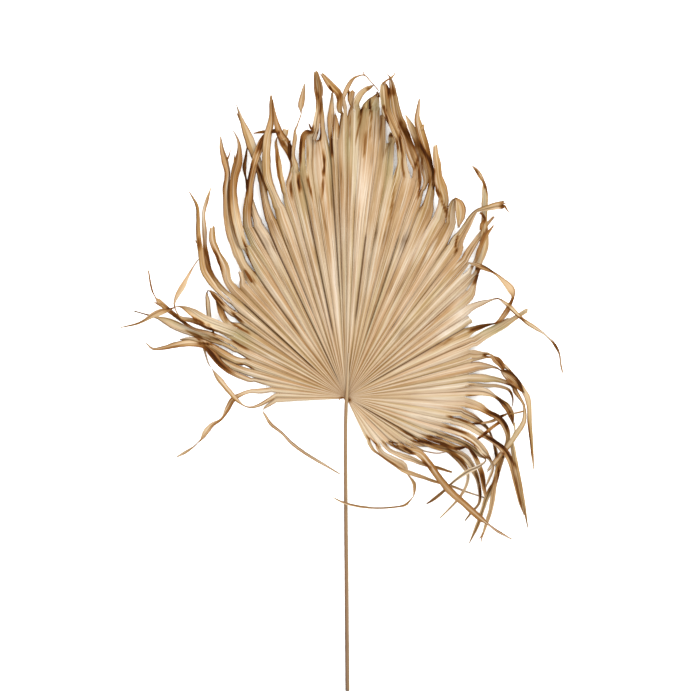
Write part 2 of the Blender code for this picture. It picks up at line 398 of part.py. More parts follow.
class Finger:
    """One piece of the fan between two splits, with its free end."""

    def __init__(self, left, right, panels, first_line, left_split, right_split, way):
        self.left = left
        self.right = right
        self.panels = panels
        self.first_line = first_line
        self.splits = (left_split, right_split)
        self.start = max(left_split, right_split)
        middle = (left + right) / 2
        root = polar(self.start, middle, dome(self.start, middle))
        span = self.edge_bearing(self.start, 0) - self.edge_bearing(self.start, 1)
        root_width = self.start * math.radians(span)
        points = [Vector((*root, root_width, 0)), *(Vector(spot) for spot in way)]
        self.rows = curve_through(points)
        self.length = self.rows[-1][0]
        self.knots = [self.rows[index * CURVE_SAMPLES][0] for index in range(len(points))]
        self.rolls = [point[4] for point in points]

    def edge_bearing(self, radius, side):
        """Bearing of the left (0) or right (1) side, drawn in a little once it has split."""
        opening = SPLIT_OPENING * max(0.0, radius - self.splits[side])
        inward = math.degrees(opening / radius)
        return self.right + inward if side else self.left - inward

    def at(self, distance):
        """Centre, direction, width and roll at a distance past the rim."""
        place = 0
        while place < len(self.rows) - 2 and self.rows[place + 1][0] < distance:
            place += 1
        (d0, low), (d1, high) = self.rows[place], self.rows[place + 1]
        here = low.lerp(high, (distance - d0) / (d1 - d0))
        back = self.rows[max(0, place - 1)][1]
        ahead = self.rows[min(len(self.rows) - 1, place + 2)][1]
        direction = (ahead - back).xyz.normalized()
        return here.xyz, direction, max(here[3], TIP_WIDTH), here[4]

    def point(self, where, line):
        """Leaf point at a radius, or start radius + distance past the rim, on a crease line."""
        share = line / self.panels
        if where <= self.start:
            left = self.edge_bearing(where, 0)
            bearing = left + (self.edge_bearing(where, 1) - left) * share
            height = dome(where, bearing) + crease(self.first_line + line) * crease_height(where)
            return polar(where, bearing, height)
        centre, ahead, width, roll = self.at(where - self.start)
        side = Vector((-ahead.y, ahead.x, 0)).normalized()
        up = ahead.cross(side)
        turn = Matrix.Rotation(math.radians(roll), 3, ahead)
        fold = FREE_CREASE * width if self.panels > 1 else 0.0
        across = side * (0.5 - share) * width + up * crease(self.first_line + line) * fold
        return centre + turn @ across

    def free_stations(self):
        """Distances past the rim where the finger gets a cross-section."""
        stations = []
        pairs = zip(self.knots, self.knots[1:], self.rolls, self.rolls[1:])
        for start, end, roll, next_roll in pairs:
            for_length = math.ceil((end - start) / FINGER_STEP)
            for_twist = math.ceil(abs(next_roll - roll) / TWIST_STEP)
            count = max(1, for_length, for_twist)
            stations += [start + (end - start) * (step + 1) / count for step in range(count)]
        return stations


def all_fingers():
    fingers = []
    left, left_split, line = LEFT_EDGE, LEFT_EDGE_RADIUS, 0
    for right, panels, split, way in FINGERS:
        fingers.append(Finger(left, right, panels, line, left_split, split, way))
        left, left_split, line = right, split, line + panels
    return fingers


def radii_to(limit):
    """Ring radii up to a split, with the split itself last."""
    inner = [HUB_RADIUS, FLAT_RADIUS]
    return inner + [radius for radius in FAN_RADII if radius < limit - RADIUS_CLEARANCE] + [limit]


def line_of_points(mesh, finger, line, shared):
    """Crease line of one finger as rows (place, vertex); its joined part is shared with the neighbour."""
    rows = []
    is_left, is_right = line == 0, line == finger.panels
    joined_to = finger.splits[1] if is_right else finger.splits[0] if is_left else finger.start
    key = finger.first_line + line
    if key not in shared:
        shared[key] = [(radius, mesh.verts.new(finger.point(radius, line) * MM))
                       for radius in radii_to(joined_to)]
    rows += shared[key]
    if joined_to < finger.start:
        between_splits = [radius for radius in FAN_RADII
                          if joined_to + RADIUS_CLEARANCE < radius < finger.start - RADIUS_CLEARANCE]
        rows += [(radius, mesh.verts.new(finger.point(radius, line) * MM))
                 for radius in between_splits + [finger.start]]
    for distance in finger.free_stations():
        place = finger.start + distance
        rows.append((place, mesh.verts.new(finger.point(place, line) * MM)))
    return rows


def zip_lines(mesh, left, right):
    """Triangles between two rows of vertices, walking outwards on both."""
    i = j = 0
    while i < len(left) - 1 or j < len(right) - 1:
        next_left = left[i + 1][0] if i < len(left) - 1 else math.inf
        next_right = right[j + 1][0] if j < len(right) - 1 else math.inf
        if next_left <= next_right:
            mesh.faces.new((left[i][1], right[j][1], left[i + 1][1]))
            i += 1
        else:
            mesh.faces.new((left[i][1], right[j][1], right[j + 1][1]))
            j += 1


def close_hub(mesh, shared):
    """Flat round centre that all pleats run into, which the frond rests on."""
    ring = [shared[line][0][1] for line in sorted(shared)]
    start, end = FINGERS[-1][0], LEFT_EDGE - 360
    for step in range(1, HUB_LIP_SIDES):
        bearing = start + (end - start) * step / HUB_LIP_SIDES
        ring.append(mesh.verts.new(polar(HUB_LIP_RADIUS, bearing, LEAF_THICKNESS / 2) * MM))
    centre = mesh.verts.new(Vector((0, 0, LEAF_THICKNESS / 2)) * MM)
    for one, other in zip(ring, ring[1:] + ring[:1]):
        mesh.faces.new((one, centre, other))


def build_blade(collection):
    mesh = bmesh.new()
    shared = {}
    for finger in all_fingers():
        lines = [line_of_points(mesh, finger, line, shared) for line in range(finger.panels + 1)]
        for left, right in zip(lines, lines[1:]):
            zip_lines(mesh, left, right)
    close_hub(mesh, shared)
    bmesh.ops.recalc_face_normals(mesh, faces=mesh.faces)
    blade = add_object("blade", mesh, collection, straw_material())
    shell = blade.modifiers.new("leaf thickness", "SOLIDIFY")
    shell.thickness = LEAF_THICKNESS * MM
    shell.offset = 0
    return blade


def stalk_height(place, height):
    """Height of the stalk's centre: on the surface at the cut end, then just over the leaf."""
    rest = height / 2
    over_leaf = dome(max(place, 0.0), STALK_BEARING) + crease_height(max(place, 0.0)) + LEAF_THICKNESS / 2
    blend = min(1.0, max(0.0, (place - STALK[0][0]) / -STALK[0][0]))
    return rest + (over_leaf + STALK_GAP) * blend


def stalk_ring(mesh, place, across, width, height):
    """Cross-section of the stalk: rounded below, with a low keel on top."""
    centre = Vector((across, place, stalk_height(place, height)))
    ring = []
    for step in range(STALK_SIDES):
        turn = math.tau * step / STALK_SIDES
        rise = math.sin(turn)
        share = SHOULDER_HEIGHT if 0 < rise < KEEL_START else 1.0
        spot = Vector((width / 2 * math.cos(turn), 0, height / 2 * share * rise))
        ring.append(mesh.verts.new((centre + spot) * MM))
    return ring


def build_petiole(collection):
    mesh = bmesh.new()
    rings = [stalk_ring(mesh, *row) for row in STALK]
    for ring, following in zip(rings, rings[1:]):
        for step in range(STALK_SIDES):
            after = (step + 1) % STALK_SIDES
            mesh.faces.new((ring[step], ring[after], following[after], following[step]))
    mesh.faces.new(rings[0])
    mesh.faces.new(reversed(rings[-1]))
    bmesh.ops.recalc_face_normals(mesh, faces=mesh.faces)
    return add_object("petiole", mesh, collection, stalk_material())


def add_object(name, mesh, collection, material):
    data = bpy.data.meshes.new(name)
    mesh.to_mesh(data)
    mesh.free()
    data.materials.append(material)
    made = bpy.data.objects.new(name, data)
    collection.objects.link(made)
    return made


def plain_material(name, colour, roughness):
    material = bpy.data.materials.new(name)
    material.use_nodes = True
    shader = material.node_tree.nodes["Principled BSDF"]
    shader.inputs["Base Color"].default_value = (*colour, 1.0)
    shader.inputs["Roughness"].default_value = roughness
    return material


def straw_material():
    return plain_material("dry_leaf", LEAF_COLOUR, LEAF_ROUGHNESS)


def stalk_material():
    return plain_material("dry_stalk", STALK_COLOUR, STALK_ROUGHNESS)


def main():
    for item in list(bpy.data.objects):
        bpy.data.objects.remove(item, do_unlink=True)
    collection = bpy.data.collections.new("dried_palm_frond")
    bpy.context.scene.collection.children.link(collection)
    build_blade(collection)
    build_petiole(collection)


main()
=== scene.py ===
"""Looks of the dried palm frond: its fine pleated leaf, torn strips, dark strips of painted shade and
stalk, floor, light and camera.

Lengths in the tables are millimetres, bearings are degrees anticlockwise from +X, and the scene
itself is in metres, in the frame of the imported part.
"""

import math
import random

import bpy
from mathutils import Matrix, Vector, noise


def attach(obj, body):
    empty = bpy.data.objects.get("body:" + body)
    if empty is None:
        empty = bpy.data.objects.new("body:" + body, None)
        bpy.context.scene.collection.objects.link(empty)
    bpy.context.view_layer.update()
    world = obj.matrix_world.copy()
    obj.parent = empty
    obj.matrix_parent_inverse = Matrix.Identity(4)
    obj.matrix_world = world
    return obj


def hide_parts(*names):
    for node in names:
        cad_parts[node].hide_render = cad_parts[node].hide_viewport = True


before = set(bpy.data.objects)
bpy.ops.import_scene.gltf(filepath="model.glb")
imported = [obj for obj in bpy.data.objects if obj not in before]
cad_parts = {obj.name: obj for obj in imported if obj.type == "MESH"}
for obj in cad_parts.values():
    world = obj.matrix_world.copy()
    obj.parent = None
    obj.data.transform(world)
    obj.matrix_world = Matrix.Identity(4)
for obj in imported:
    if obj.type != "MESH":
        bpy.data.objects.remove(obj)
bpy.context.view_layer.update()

MM = 0.001
SEED = 11

# Camera and frame of the picture
FRAME_WIDTH = 1.05
FRAME_CENTRE = (0.006, 0.0705)
CAMERA_HEIGHT = 8.0
SENSOR_WIDTH = 36.0

# Light
WORLD_LIGHT = 2.4
KEY_LIGHT = 2.0
KEY_SPREAD = 30.0
KEY_BEARING = 50.0
KEY_ELEVATION = 46.0

# Leaf
LEAF_THICKNESS = 0.8
FINE_THICKNESS = 0.4
HUB_RADIUS = 7.0
FLAT_RADIUS = 10.0
HUB_LIP_RADIUS = 4.5
HUB_LIP_SIDES = 12
LEFT_EDGE = 184.5
LEFT_EDGE_RADIUS = 103.0
LEFT_FLARE = 2.3
LEFT_FLARE_RADIUS = 75.0
DOME_RISE = 0.04
CREASE_SLOPE = 0.0108
CREASE_LIMIT = 2.2
OVER_RIM = 1.3
FREE_CREASE = 0.14
TIP_WIDTH = 1.0
SPLIT_OPENING = 0.16
CURVE_SAMPLES = 14

# Fineness of the leaf mesh: strips to a panel, the least step between rows of the joined leaf, its
# growth with the radius and the largest step, and the step between rows of a free finger
STRIPS = 6
FAN_STEP = (2.5, 0.06, 9.0)
SPLIT_ROW_GAP = 1.5
FREE_STEP = 5.1

# Nearness to a crease line, as a share of a panel, that counts as on it
ON_LINE = 1e-6

# Unevenness of the leaf
LINE_WANDER = 0.24
STEADY_WANDER = 1.6
WANDER_ONSET = 40.0
CREASE_SPREAD = 0.4
PANEL_BULGE = 0.1
FINE_FOLD = 0.09
BULGE_BIAS = 0.4
SWELL = 1.2
SWELL_SPAN = 70.0
SWELL_START = 40.0
SWELL_ONSET = 60.0
SEAM_DEPTH = 1.0
SEAM_ONSET = 150.0
SETTLE_SPAN = 30.0
LOOSE_SPAN = 30.0
FREE_ROLL = 14.0
FREE_CURL = 0.16
FREE_FRAY = 0.14
TORN_END = 5.0
TORN_STEP = 0.9
CREASE_SWING = 0.6

# Each noise of the leaf: its step from one crease line or finger to the next, the millimetres that
# one wave takes along the leaf, and its layer
WANDER_NOISE = (3.7, 130.0, 0.5)
SPREAD_NOISE = (5.3, 110.0, 3.5)
BULGE_NOISE = (9.1, 80.0, 0.5)
FAN_FOLD_NOISE = (6.3, 70.0, 8.5)
FREE_FOLD_NOISE = (6.3, 30.0, 8.5)
SEAM_NOISE = (2.1, 60.0, 0.5)
ROLL_NOISE = (1.0, 35.0, 0.5)
CURL_NOISE = (1.0, 55.0, 4.5)
FRAY_NOISE = (1.0, 9.0, 2.5)
CREASE_NOISE = (1.0, 40.0, 9.5)
FINGER_SEED_STEP = 1.7
FRAY_SEED_STEP = 50.0
STEADY_PLACE = 0.3
SLOW_PLACE = 7.0
TORN_PLACE = 6.5

# Outline of the joined part of the fan: bearing, radius
RIM = (
    (-65, 68), (-45, 92), (-30, 122), (-10, 165), (10, 187), (30, 210), (50, 265), (70, 335), (80, 395),
    (90, 425), (105, 345), (120, 285), (135, 228), (145, 195), (160, 160), (184.5, 105),
)
# Height of that outline over the surface
RIM_LIFT = (
    (-65, 5), (-30, 0), (15, 8), (55, 10), (92, 0), (130, 9), (165, 0), (184.5, 4),
)

# Stalk: distance along Y, centre across X, width, height
STALK = (
    (-441, 2.3, 6.4, 5.2), (-430, 2.1, 6.4, 5.2), (-350, 1.4, 6.2, 5), (-260, 0.8, 6, 4.9),
    (-200, 0, 5.9, 4.8), (-100, -0.6, 5.6, 4.6), (-40, -0.5, 5.4, 4.4), (-12, 0.3, 5.4, 4.2),
    (-4, 0.8, 5.4, 4), (4, 1.2, 5, 3.6), (14, 1.8, 4.2, 2.8), (28, 2.6, 3.6, 2.2), (46, 3.3, 2.8, 1.6),
    (66, 3.8, 1.6, 1.1),
)
STALK_BEARING = 90.0
STALK_SIDES = 32
STALK_STEP = 3.0
STALK_GAP = 0.3
STALK_GROOVES = 9
STALK_GROOVE_DEPTH = 0.03
STALK_GROOVE_SPAN = 90.0
STALK_KEEL = 0.12
STALK_KEEL_SLOPE = 2.0
STALK_FIBRE_STEP = 3.0

# Brownness of the stalk along Y, and how much painted shade darkens its left side, away from the light
STALK_TONE = (
    (-441, 0.98), (-437, 0.86), (-330, 0.82), (-200, 0.74), (-60, 0.66), (-20, 0.66), (-6, 0.6),
    (4, 0.5), (14, 0.45), (30, 0.4), (66, 0.35),
)
STALK_LEFT_SHADE = 0.1
STALK_GREEN = 0.4

# Brownness of the joined leaf by radius, and what the bearing adds to it
FAN_TONE = (
    (0, 0.5), (12, 0.46), (35, 0.37), (80, 0.29), (160, 0.22), (300, 0.27), (430, 0.34),
)
SIDE_TONE = (
    (-65, -0.13), (-20, -0.1), (10, -0.03), (40, 0.02), (75, 0.02), (95, 0.02), (120, 0.04),
    (150, 0.03), (165, -0.02), (184.5, -0.03),
)
# What the bearing adds to the brownness of the free fingers, and the distance over which that and
# the fingers' own brownness set in
FREE_TONE = (
    (-65, -0.2), (-10, -0.19), (10, -0.13), (60, -0.1), (85, 0), (98, 0), (110, -0.07), (150, -0.16),
    (184.5, -0.18),
)
FREE_BLEND = 40.0

# Brown and pale marks: x, y, half width, half height, brownness
MARKS = (
    (-4.5, -1.5, 4, 2.5, 0.95), (5, -4.5, 2.8, 4, 0.85), (0, 5, 6, 4, 0.55), (178, 105, 5, 2.5, 0.6),
    (143, 80, 5, 2, 0.75), (154, 86.5, 5, 2, 0.7), (172, 128, 14, 28, 0.03), (150, 95, 12, 8, 0.06),
    (-12, 160, 8, 60, 0.1), (20, 330, 12, 60, 0.06), (-40, 340, 10, 40, 0.1),
)
MARK_REACH = 6.0

# Brownness and relief of the round centre of the hub, and a distance from any edge that is far
FAR_FROM_EDGE = 6.0
HUB_PAINT = {"tone": 0.6, "ridge": 0.5, "off_edge": FAR_FROM_EDGE}
SPLIT_FADE = 12.0

# Valleys painted dark brown, partly as the shade that falls in the creases: bearing, inner radius, outer
# radius, strength
SEAMS = (
    (-44, 35, 95, 0.6), (-37, 40, 110, 0.5), (-30, 15, 120, 1), (-21.4, 125, 150, 0.9),
    (-16.7, 138, 165, 0.7), (-10.6, 150, 178, 0.7), (-5.4, 148, 180, 0.7), (0.6, 150, 190, 0.5),
    (10.4, 168, 200, 0.5), (25.5, 60, 190, 0.6), (28.8, 30, 205, 0.9), (50.4, 150, 235, 0.5),
    (57, 235, 285, 0.7), (66.8, 120, 200, 0.45), (69, 150, 300, 0.55), (72.4, 90, 250, 0.75),
    (83, 110, 240, 1), (93.8, 150, 380, 1.1), (100.3, 90, 330, 0.95), (107, 60, 300, 0.55),
    (111.5, 130, 300, 0.75), (114, 20, 330, 1), (118, 240, 330, 1), (125, 110, 275, 0.9),
    (128.3, 165, 235, 0.8), (136.5, 55, 205, 1.1), (139, 60, 180, 0.8), (141.8, 180, 262, 0.9),
    (146, 150, 215, 1), (158.6, 150, 185, 1), (163, 140, 172, 1), (167.8, 110, 165, 0.8),
)
# Darkness of all other valleys, brown and partly painted shade, the radius over which it sets in, its
# steady share and its swing
PLAIN_SEAM = (0.2, 0.6)
PLAIN_SEAM_ONSET = 60.0
SEAM_STEADY = 0.6
SEAM_SWING = 0.4
# Length of the fade at the inner and at the outer end of a dark valley, and its value at that end
SEAM_START = (25.0, 0.3)
SEAM_END = (15.0, 1.0)

# Dark edges and folds, mostly painted shade and shadow where fingers turn and overlap, some brown:
# brownness, half width, then the points (x, y) of a line over the leaf.
SHADOWS_AND_STAINS = (
    (0.8, 1.3, (-21.5, 395), (-21.5, 380), (-20.5, 360)),
    (0.78, 1.5, (-19, 425), (-18, 412), (-19, 400), (-20, 393)),
    (0.75, 1.4, (-12, 396), (-9, 412), (-6, 425), (-4, 436)),
    (0.72, 2.0, (-13, 443), (-9, 452), (-6, 460)),
    (0.85, 1.5, (-23, 462), (-21.5, 456)),
    (0.92, 1.2, (0, 449), (3, 454)),
    (0.7, 1.3, (9, 436), (12, 442)),
    (0.62, 1.2, (3, 420), (5, 428), (9, 434)),
    (0.85, 1.4, (20, 424), (23, 430)),
    (0.62, 1.4, (19, 419), (21, 412)),
    (0.82, 1.3, (37, 440), (37.5, 428), (38.5, 412)),
    (0.62, 0.6, (43, 440), (47, 432), (49.5, 425), (50, 410)),
    (0.66, 0.6, (52.5, 430), (53, 412), (51.5, 400), (51, 385)),
    (0.68, 0.8, (24, 426), (18, 400), (14, 378)),
    (0.66, 0.8, (36, 412), (37, 398), (37, 388)),
    (0.6, 0.8, (30, 396), (28, 378), (27, 360)),
    (0.6, 0.7, (8, 428), (5, 405), (6, 380)),
    (0.92, 1.8, (55, 436), (59, 428)),
    (0.96, 1.5, (59, 426), (62, 410), (63, 393)),
    (0.93, 1.3, (63, 392), (69, 391)),
    (0.88, 1.8, (34, 462), (35, 458)),
    (0.85, 1.3, (40, 466), (42, 464)),
    (0.8, 2.0, (62, 474), (64, 462), (65, 450)),
    (0.63, 4.0, (70, 460), (71, 455)),
    (0.8, 1.8, (-48, 483), (-47.5, 470), (-45, 458)),
    (0.92, 2.0, (-44, 456), (-43, 448)),
    (0.82, 1.2, (-45, 446), (-45.5, 433)),
    (0.8, 1.3, (-37.5, 443), (-37, 435), (-39, 423)),
    (0.98, 2.2, (-40, 399), (-40, 387)),
    (0.9, 3.0, (-55, 397), (-52, 397), (-51, 402)),
    (0.62, 1.0, (67, 385), (61, 373), (56, 360)),
    (0.93, 1.4, (75, 388), (77, 378), (78, 368)),
    (0.8, 1.2, (81, 398), (81, 384), (83, 370), (86, 361)),
    (0.74, 3.6, (84, 407), (92, 394), (100, 381), (108, 367)),
    (0.88, 1.3, (88, 403), (98, 388), (107, 374)),
    (0.7, 2.5, (83, 413), (80, 404)),
    (0.84, 2.0, (105, 387), (111, 377), (119, 364), (126, 352), (131, 338), (131, 324)),
    (0.84, 1.4, (110, 363), (106, 351), (101.5, 342)),
    (0.85, 1.3, (109, 350), (110, 332), (111.5, 313), (108, 296)),
    (0.75, 1.2, (114, 362), (113, 350), (116, 338)),
    (0.8, 1.5, (127, 328), (121, 312), (117, 298), (111, 280)),
    (0.92, 2.2, (131, 318), (134, 311), (141, 301)),
    (0.76, 1.5, (142, 298), (147, 284), (153, 272)),
    (0.9, 1.3, (157, 300), (164, 296)),
    (0.62, 1.0, (76, 355), (73, 325), (70, 298), (66, 260)),
    (0.72, 1.1, (84, 362), (84, 348), (88, 328)),
    (0.86, 1.3, (205, 320), (210, 311), (213, 303)),
    (0.93, 2.3, (232, 284), (236, 283), (235, 289)),
    (0.75, 1.3, (194, 339), (198, 333)),
    (0.78, 0.8, (163, 212), (166, 218), (164, 226), (165, 235), (169, 247)),
    (0.75, 1.4, (165, 204), (170, 204)),
    (0.62, 1.2, (173, 208), (177, 217), (180, 224)),
    (0.74, 2.0, (194, 205), (195, 215), (197, 224)),
    (0.7, 2.0, (200, 226), (204, 236), (208, 246), (214, 252)),
    (0.9, 1.0, (186, 196), (197, 192)),
    (0.97, 2.3, (196, 191), (199, 190)),
    (0.86, 1.8, (198, 187), (196, 178), (192, 171)),
    (0.92, 1.8, (203, 198), (212, 195), (218, 190), (220, 186)),
    (0.93, 1.2, (225, 147), (229, 147)),
    (0.76, 2.4, (249, 149), (246, 140), (243, 133)),
    (0.86, 1.2, (233, 139), (236, 135)),
    (0.62, 1.2, (157, 240), (153, 231), (149, 222)),
    (0.66, 2.4, (185, 99), (198, 104), (210, 107.5)),
    (0.83, 1.0, (198, 102), (212, 107), (225, 111), (236, 115)),
    (0.95, 1.0, (245, 128), (252, 123)),
    (0.92, 1.5, (258, 118), (264, 116.5)),
    (0.76, 1.4, (308, 84), (314, 75), (318, 68)),
    (0.92, 1.9, (219, 70), (226, 62), (231, 53), (234, 44)),
    (0.95, 1.7, (206, 63), (212, 62)),
    (0.88, 2.2, (225, 43), (235, 41.5), (247, 37), (255, 31), (259, 22), (262, 13), (265, 7)),
    (0.72, 1.0, (240, 29), (249, 21)),
    (0.95, 1.7, (242, 18), (250, 15.5)),
    (0.72, 1.2, (245, 9), (249, 2)),
    (0.93, 2.3, (226, -1), (232, -6), (240, -10)),
    (0.6, 1.2, (180, 2), (200, 1)),
    (0.6, 1.2, (178, 15), (190, 19)),
    (0.84, 2.4, (211, -21), (220, -24), (231, -29), (238, -38), (243, -50)),
    (0.84, 1.2, (150, -28.5), (165, -31), (178, -36), (189, -40)),
    (0.95, 1.3, (189, -40), (202, -40)),
    (0.68, 1.2, (150, -44), (165, -49), (182, -54)),
    (0.87, 1.5, (150, -55), (163, -58), (177, -62), (188, -69), (200, -79)),
    (0.94, 2.0, (207, -59), (218, -63), (231, -71), (238, -78)),
    (0.72, 1.5, (238, -79), (248, -94), (256, -106)),
    (0.76, 2.2, (151, -79), (163, -86), (173, -94), (180, -103)),
    (0.86, 1.5, (162, -77), (172, -76.5), (181, -73)),
    (0.92, 1.4, (183, -75), (190, -84), (196, -92)),
    (0.86, 1.8, (202, -112), (205, -123), (208, -134)),
    (0.94, 1.8, (201, -136), (202, -149)),
    (0.92, 1.6, (206, -88), (209, -90)),
    (0.94, 1.8, (213, -90.5), (218, -91)),
    (0.86, 1.4, (221, -80), (226, -91)),
    (0.92, 1.8, (233, -84), (237, -86)),
    (0.78, 1.2, (228, -106), (229, -118), (226, -128)),
    (0.7, 1.4, (253, -118), (258, -142), (264, -168)),
    (0.64, 1.2, (271, -30), (275, -65), (280, -98)),
    (0.82, 2.3, (245, -22), (250, -35)),
    (0.75, 1.4, (190, -113), (195, -117), (200, -130)),
    (0.7, 2.3, (211, -143), (218, -132), (222, -118)),
    (0.94, 1.6, (99, -65.5), (112, -66.5), (125, -69), (133, -70.5)),
    (0.95, 1.7, (119, -58.5), (132, -60), (145, -63)),
    (0.8, 2.2, (112, -63), (126, -65), (138, -68), (148, -71), (158, -78)),
    (0.92, 1.6, (84, -74.5), (92, -79), (103, -85.5)),
    (0.72, 1.0, (70, -72), (83, -74)),
    (0.62, 0.7, (65, -68), (73, -68)),
    (0.68, 1.1, (52, -66), (62, -71), (76, -77), (90, -83.5)),
    (0.84, 1.1, (31, -59), (40, -67), (50, -75)),
    (0.66, 1.1, (84, -51), (95, -57), (106, -61)),
    (0.82, 1.3, (115, -95), (121, -102), (127, -105.5)),
    (0.64, 1.0, (42, -81), (60, -93), (80, -106)),
    (0.85, 2.0, (-149, 302), (-147, 322), (-144, 340), (-140, 352)),
    (0.87, 2.2, (-131, 366), (-128.5, 376), (-125, 389)),
    (0.95, 2.6, (-109, 397), (-102, 396)),
    (0.82, 1.3, (-134, 349), (-128, 336), (-122, 318), (-117, 303)),
    (0.72, 1.1, (-113, 342), (-107, 325), (-100, 306)),
    (0.68, 1.0, (-103, 372), (-103, 350), (-99, 325), (-95, 303)),
    (0.78, 1.4, (-103, 390), (-96, 381), (-92, 376)),
    (0.96, 2.0, (-84.5, 384), (-84, 370), (-83.5, 358)),
    (0.82, 1.2, (-83, 322), (-82, 302)),
    (0.96, 1.6, (-71, 333), (-71.5, 322), (-69, 311)),
    (0.82, 1.3, (-68, 394), (-68, 368), (-70, 342)),
    (0.78, 1.2, (-58.5, 332), (-55, 315), (-51, 300)),
    (0.64, 1.2, (-57, 372), (-58.5, 350)),
    (0.1, 2.4, (-62, 372), (-61, 350)),
    (0.94, 1.4, (-33.5, 366), (-32.5, 350), (-33, 332)),
    (0.74, 1.1, (-33, 332), (-36, 298)),
    (0.68, 2.2, (-219, 238), (-219, 222)),
    (0.7, 1.6, (-213, 228), (-208, 212), (-203, 198), (-197, 186)),
    (0.66, 1.0, (-198, 222), (-192, 210), (-189, 198), (-185, 186)),
    (0.86, 1.8, (-207, 160), (-205, 154)),
    (0.82, 1.1, (-201, 157), (-193, 148), (-185, 140), (-181, 136)),
    (0.72, 1.7, (-196, 146), (-190, 136), (-183, 124), (-178, 112)),
    (0.9, 1.3, (-171, 127), (-163, 119), (-154, 112)),
    (0.8, 1.3, (-175, 117), (-167, 108), (-155, 101), (-144, 95)),
    (0.78, 1.7, (-151, 189), (-146, 182), (-137, 172)),
    (0.86, 1.2, (-155, 237), (-150, 225), (-147, 212), (-143, 200), (-135, 182)),
    (0.86, 1.6, (-231, 119), (-222, 115), (-210, 108)),
    (0.88, 1.6, (-204, 107), (-202, 101), (-197, 94)),
    (0.92, 1.8, (-266, 133), (-258, 134)),
    (0.74, 1.0, (-266, 128), (-257, 122), (-248, 114), (-238, 108)),
    (0.85, 1.4, (-229, 97), (-221, 91), (-215, 88)),
    (0.68, 1.1, (-240, 101), (-230, 95), (-222, 87), (-215, 84)),
    (0.86, 1.1, (-222, 81), (-210, 80), (-200, 79)),
    (0.8, 2.0, (-211, 76), (-203, 68), (-192, 54), (-180, 44), (-170, 38)),
    (0.88, 1.4, (-193, 78), (-180, 72), (-170, 67)),
    (0.9, 1.2, (-160, 64), (-150, 59)),
    (0.88, 1.2, (-160, 50), (-150, 47), (-140, 43)),
    (0.64, 1.8, (-212, 88), (-200, 87), (-186, 85)),
    (0.72, 1.1, (-172, 86), (-160, 78), (-145, 70)),
)
SHADOW_AND_STAIN_FADE = 1.1
SHADOW_AND_STAIN_TAPER = 0.25
SHADOW_AND_STAIN_END = 0.25

# Olive patches: x, y, half width, half height, strength
GREEN_PATCHES = (
    (4, 375, 8, 45, 1), (65, 350, 10, 35, 0.7), (215, 102, 30, 12, 1), (-158, 92, 22, 14, 0.8),
    (40, 436, 25, 12, 0.9), (220, 26, 16, 6, 0.7), (-66, 345, 8, 30, 0.8), (-62, 300, 8, 30, 0.6),
    (-25, 350, 6, 50, 0.5), (-147, 225, 10, 25, 0.7), (276, -60, 10, 60, 0.6), (20, 415, 12, 20, 0.6),
    (-135, 190, 10, 20, 0.6), (208, 300, 8, 30, 0.5), (255, -60, 16, 30, 0.6),
)
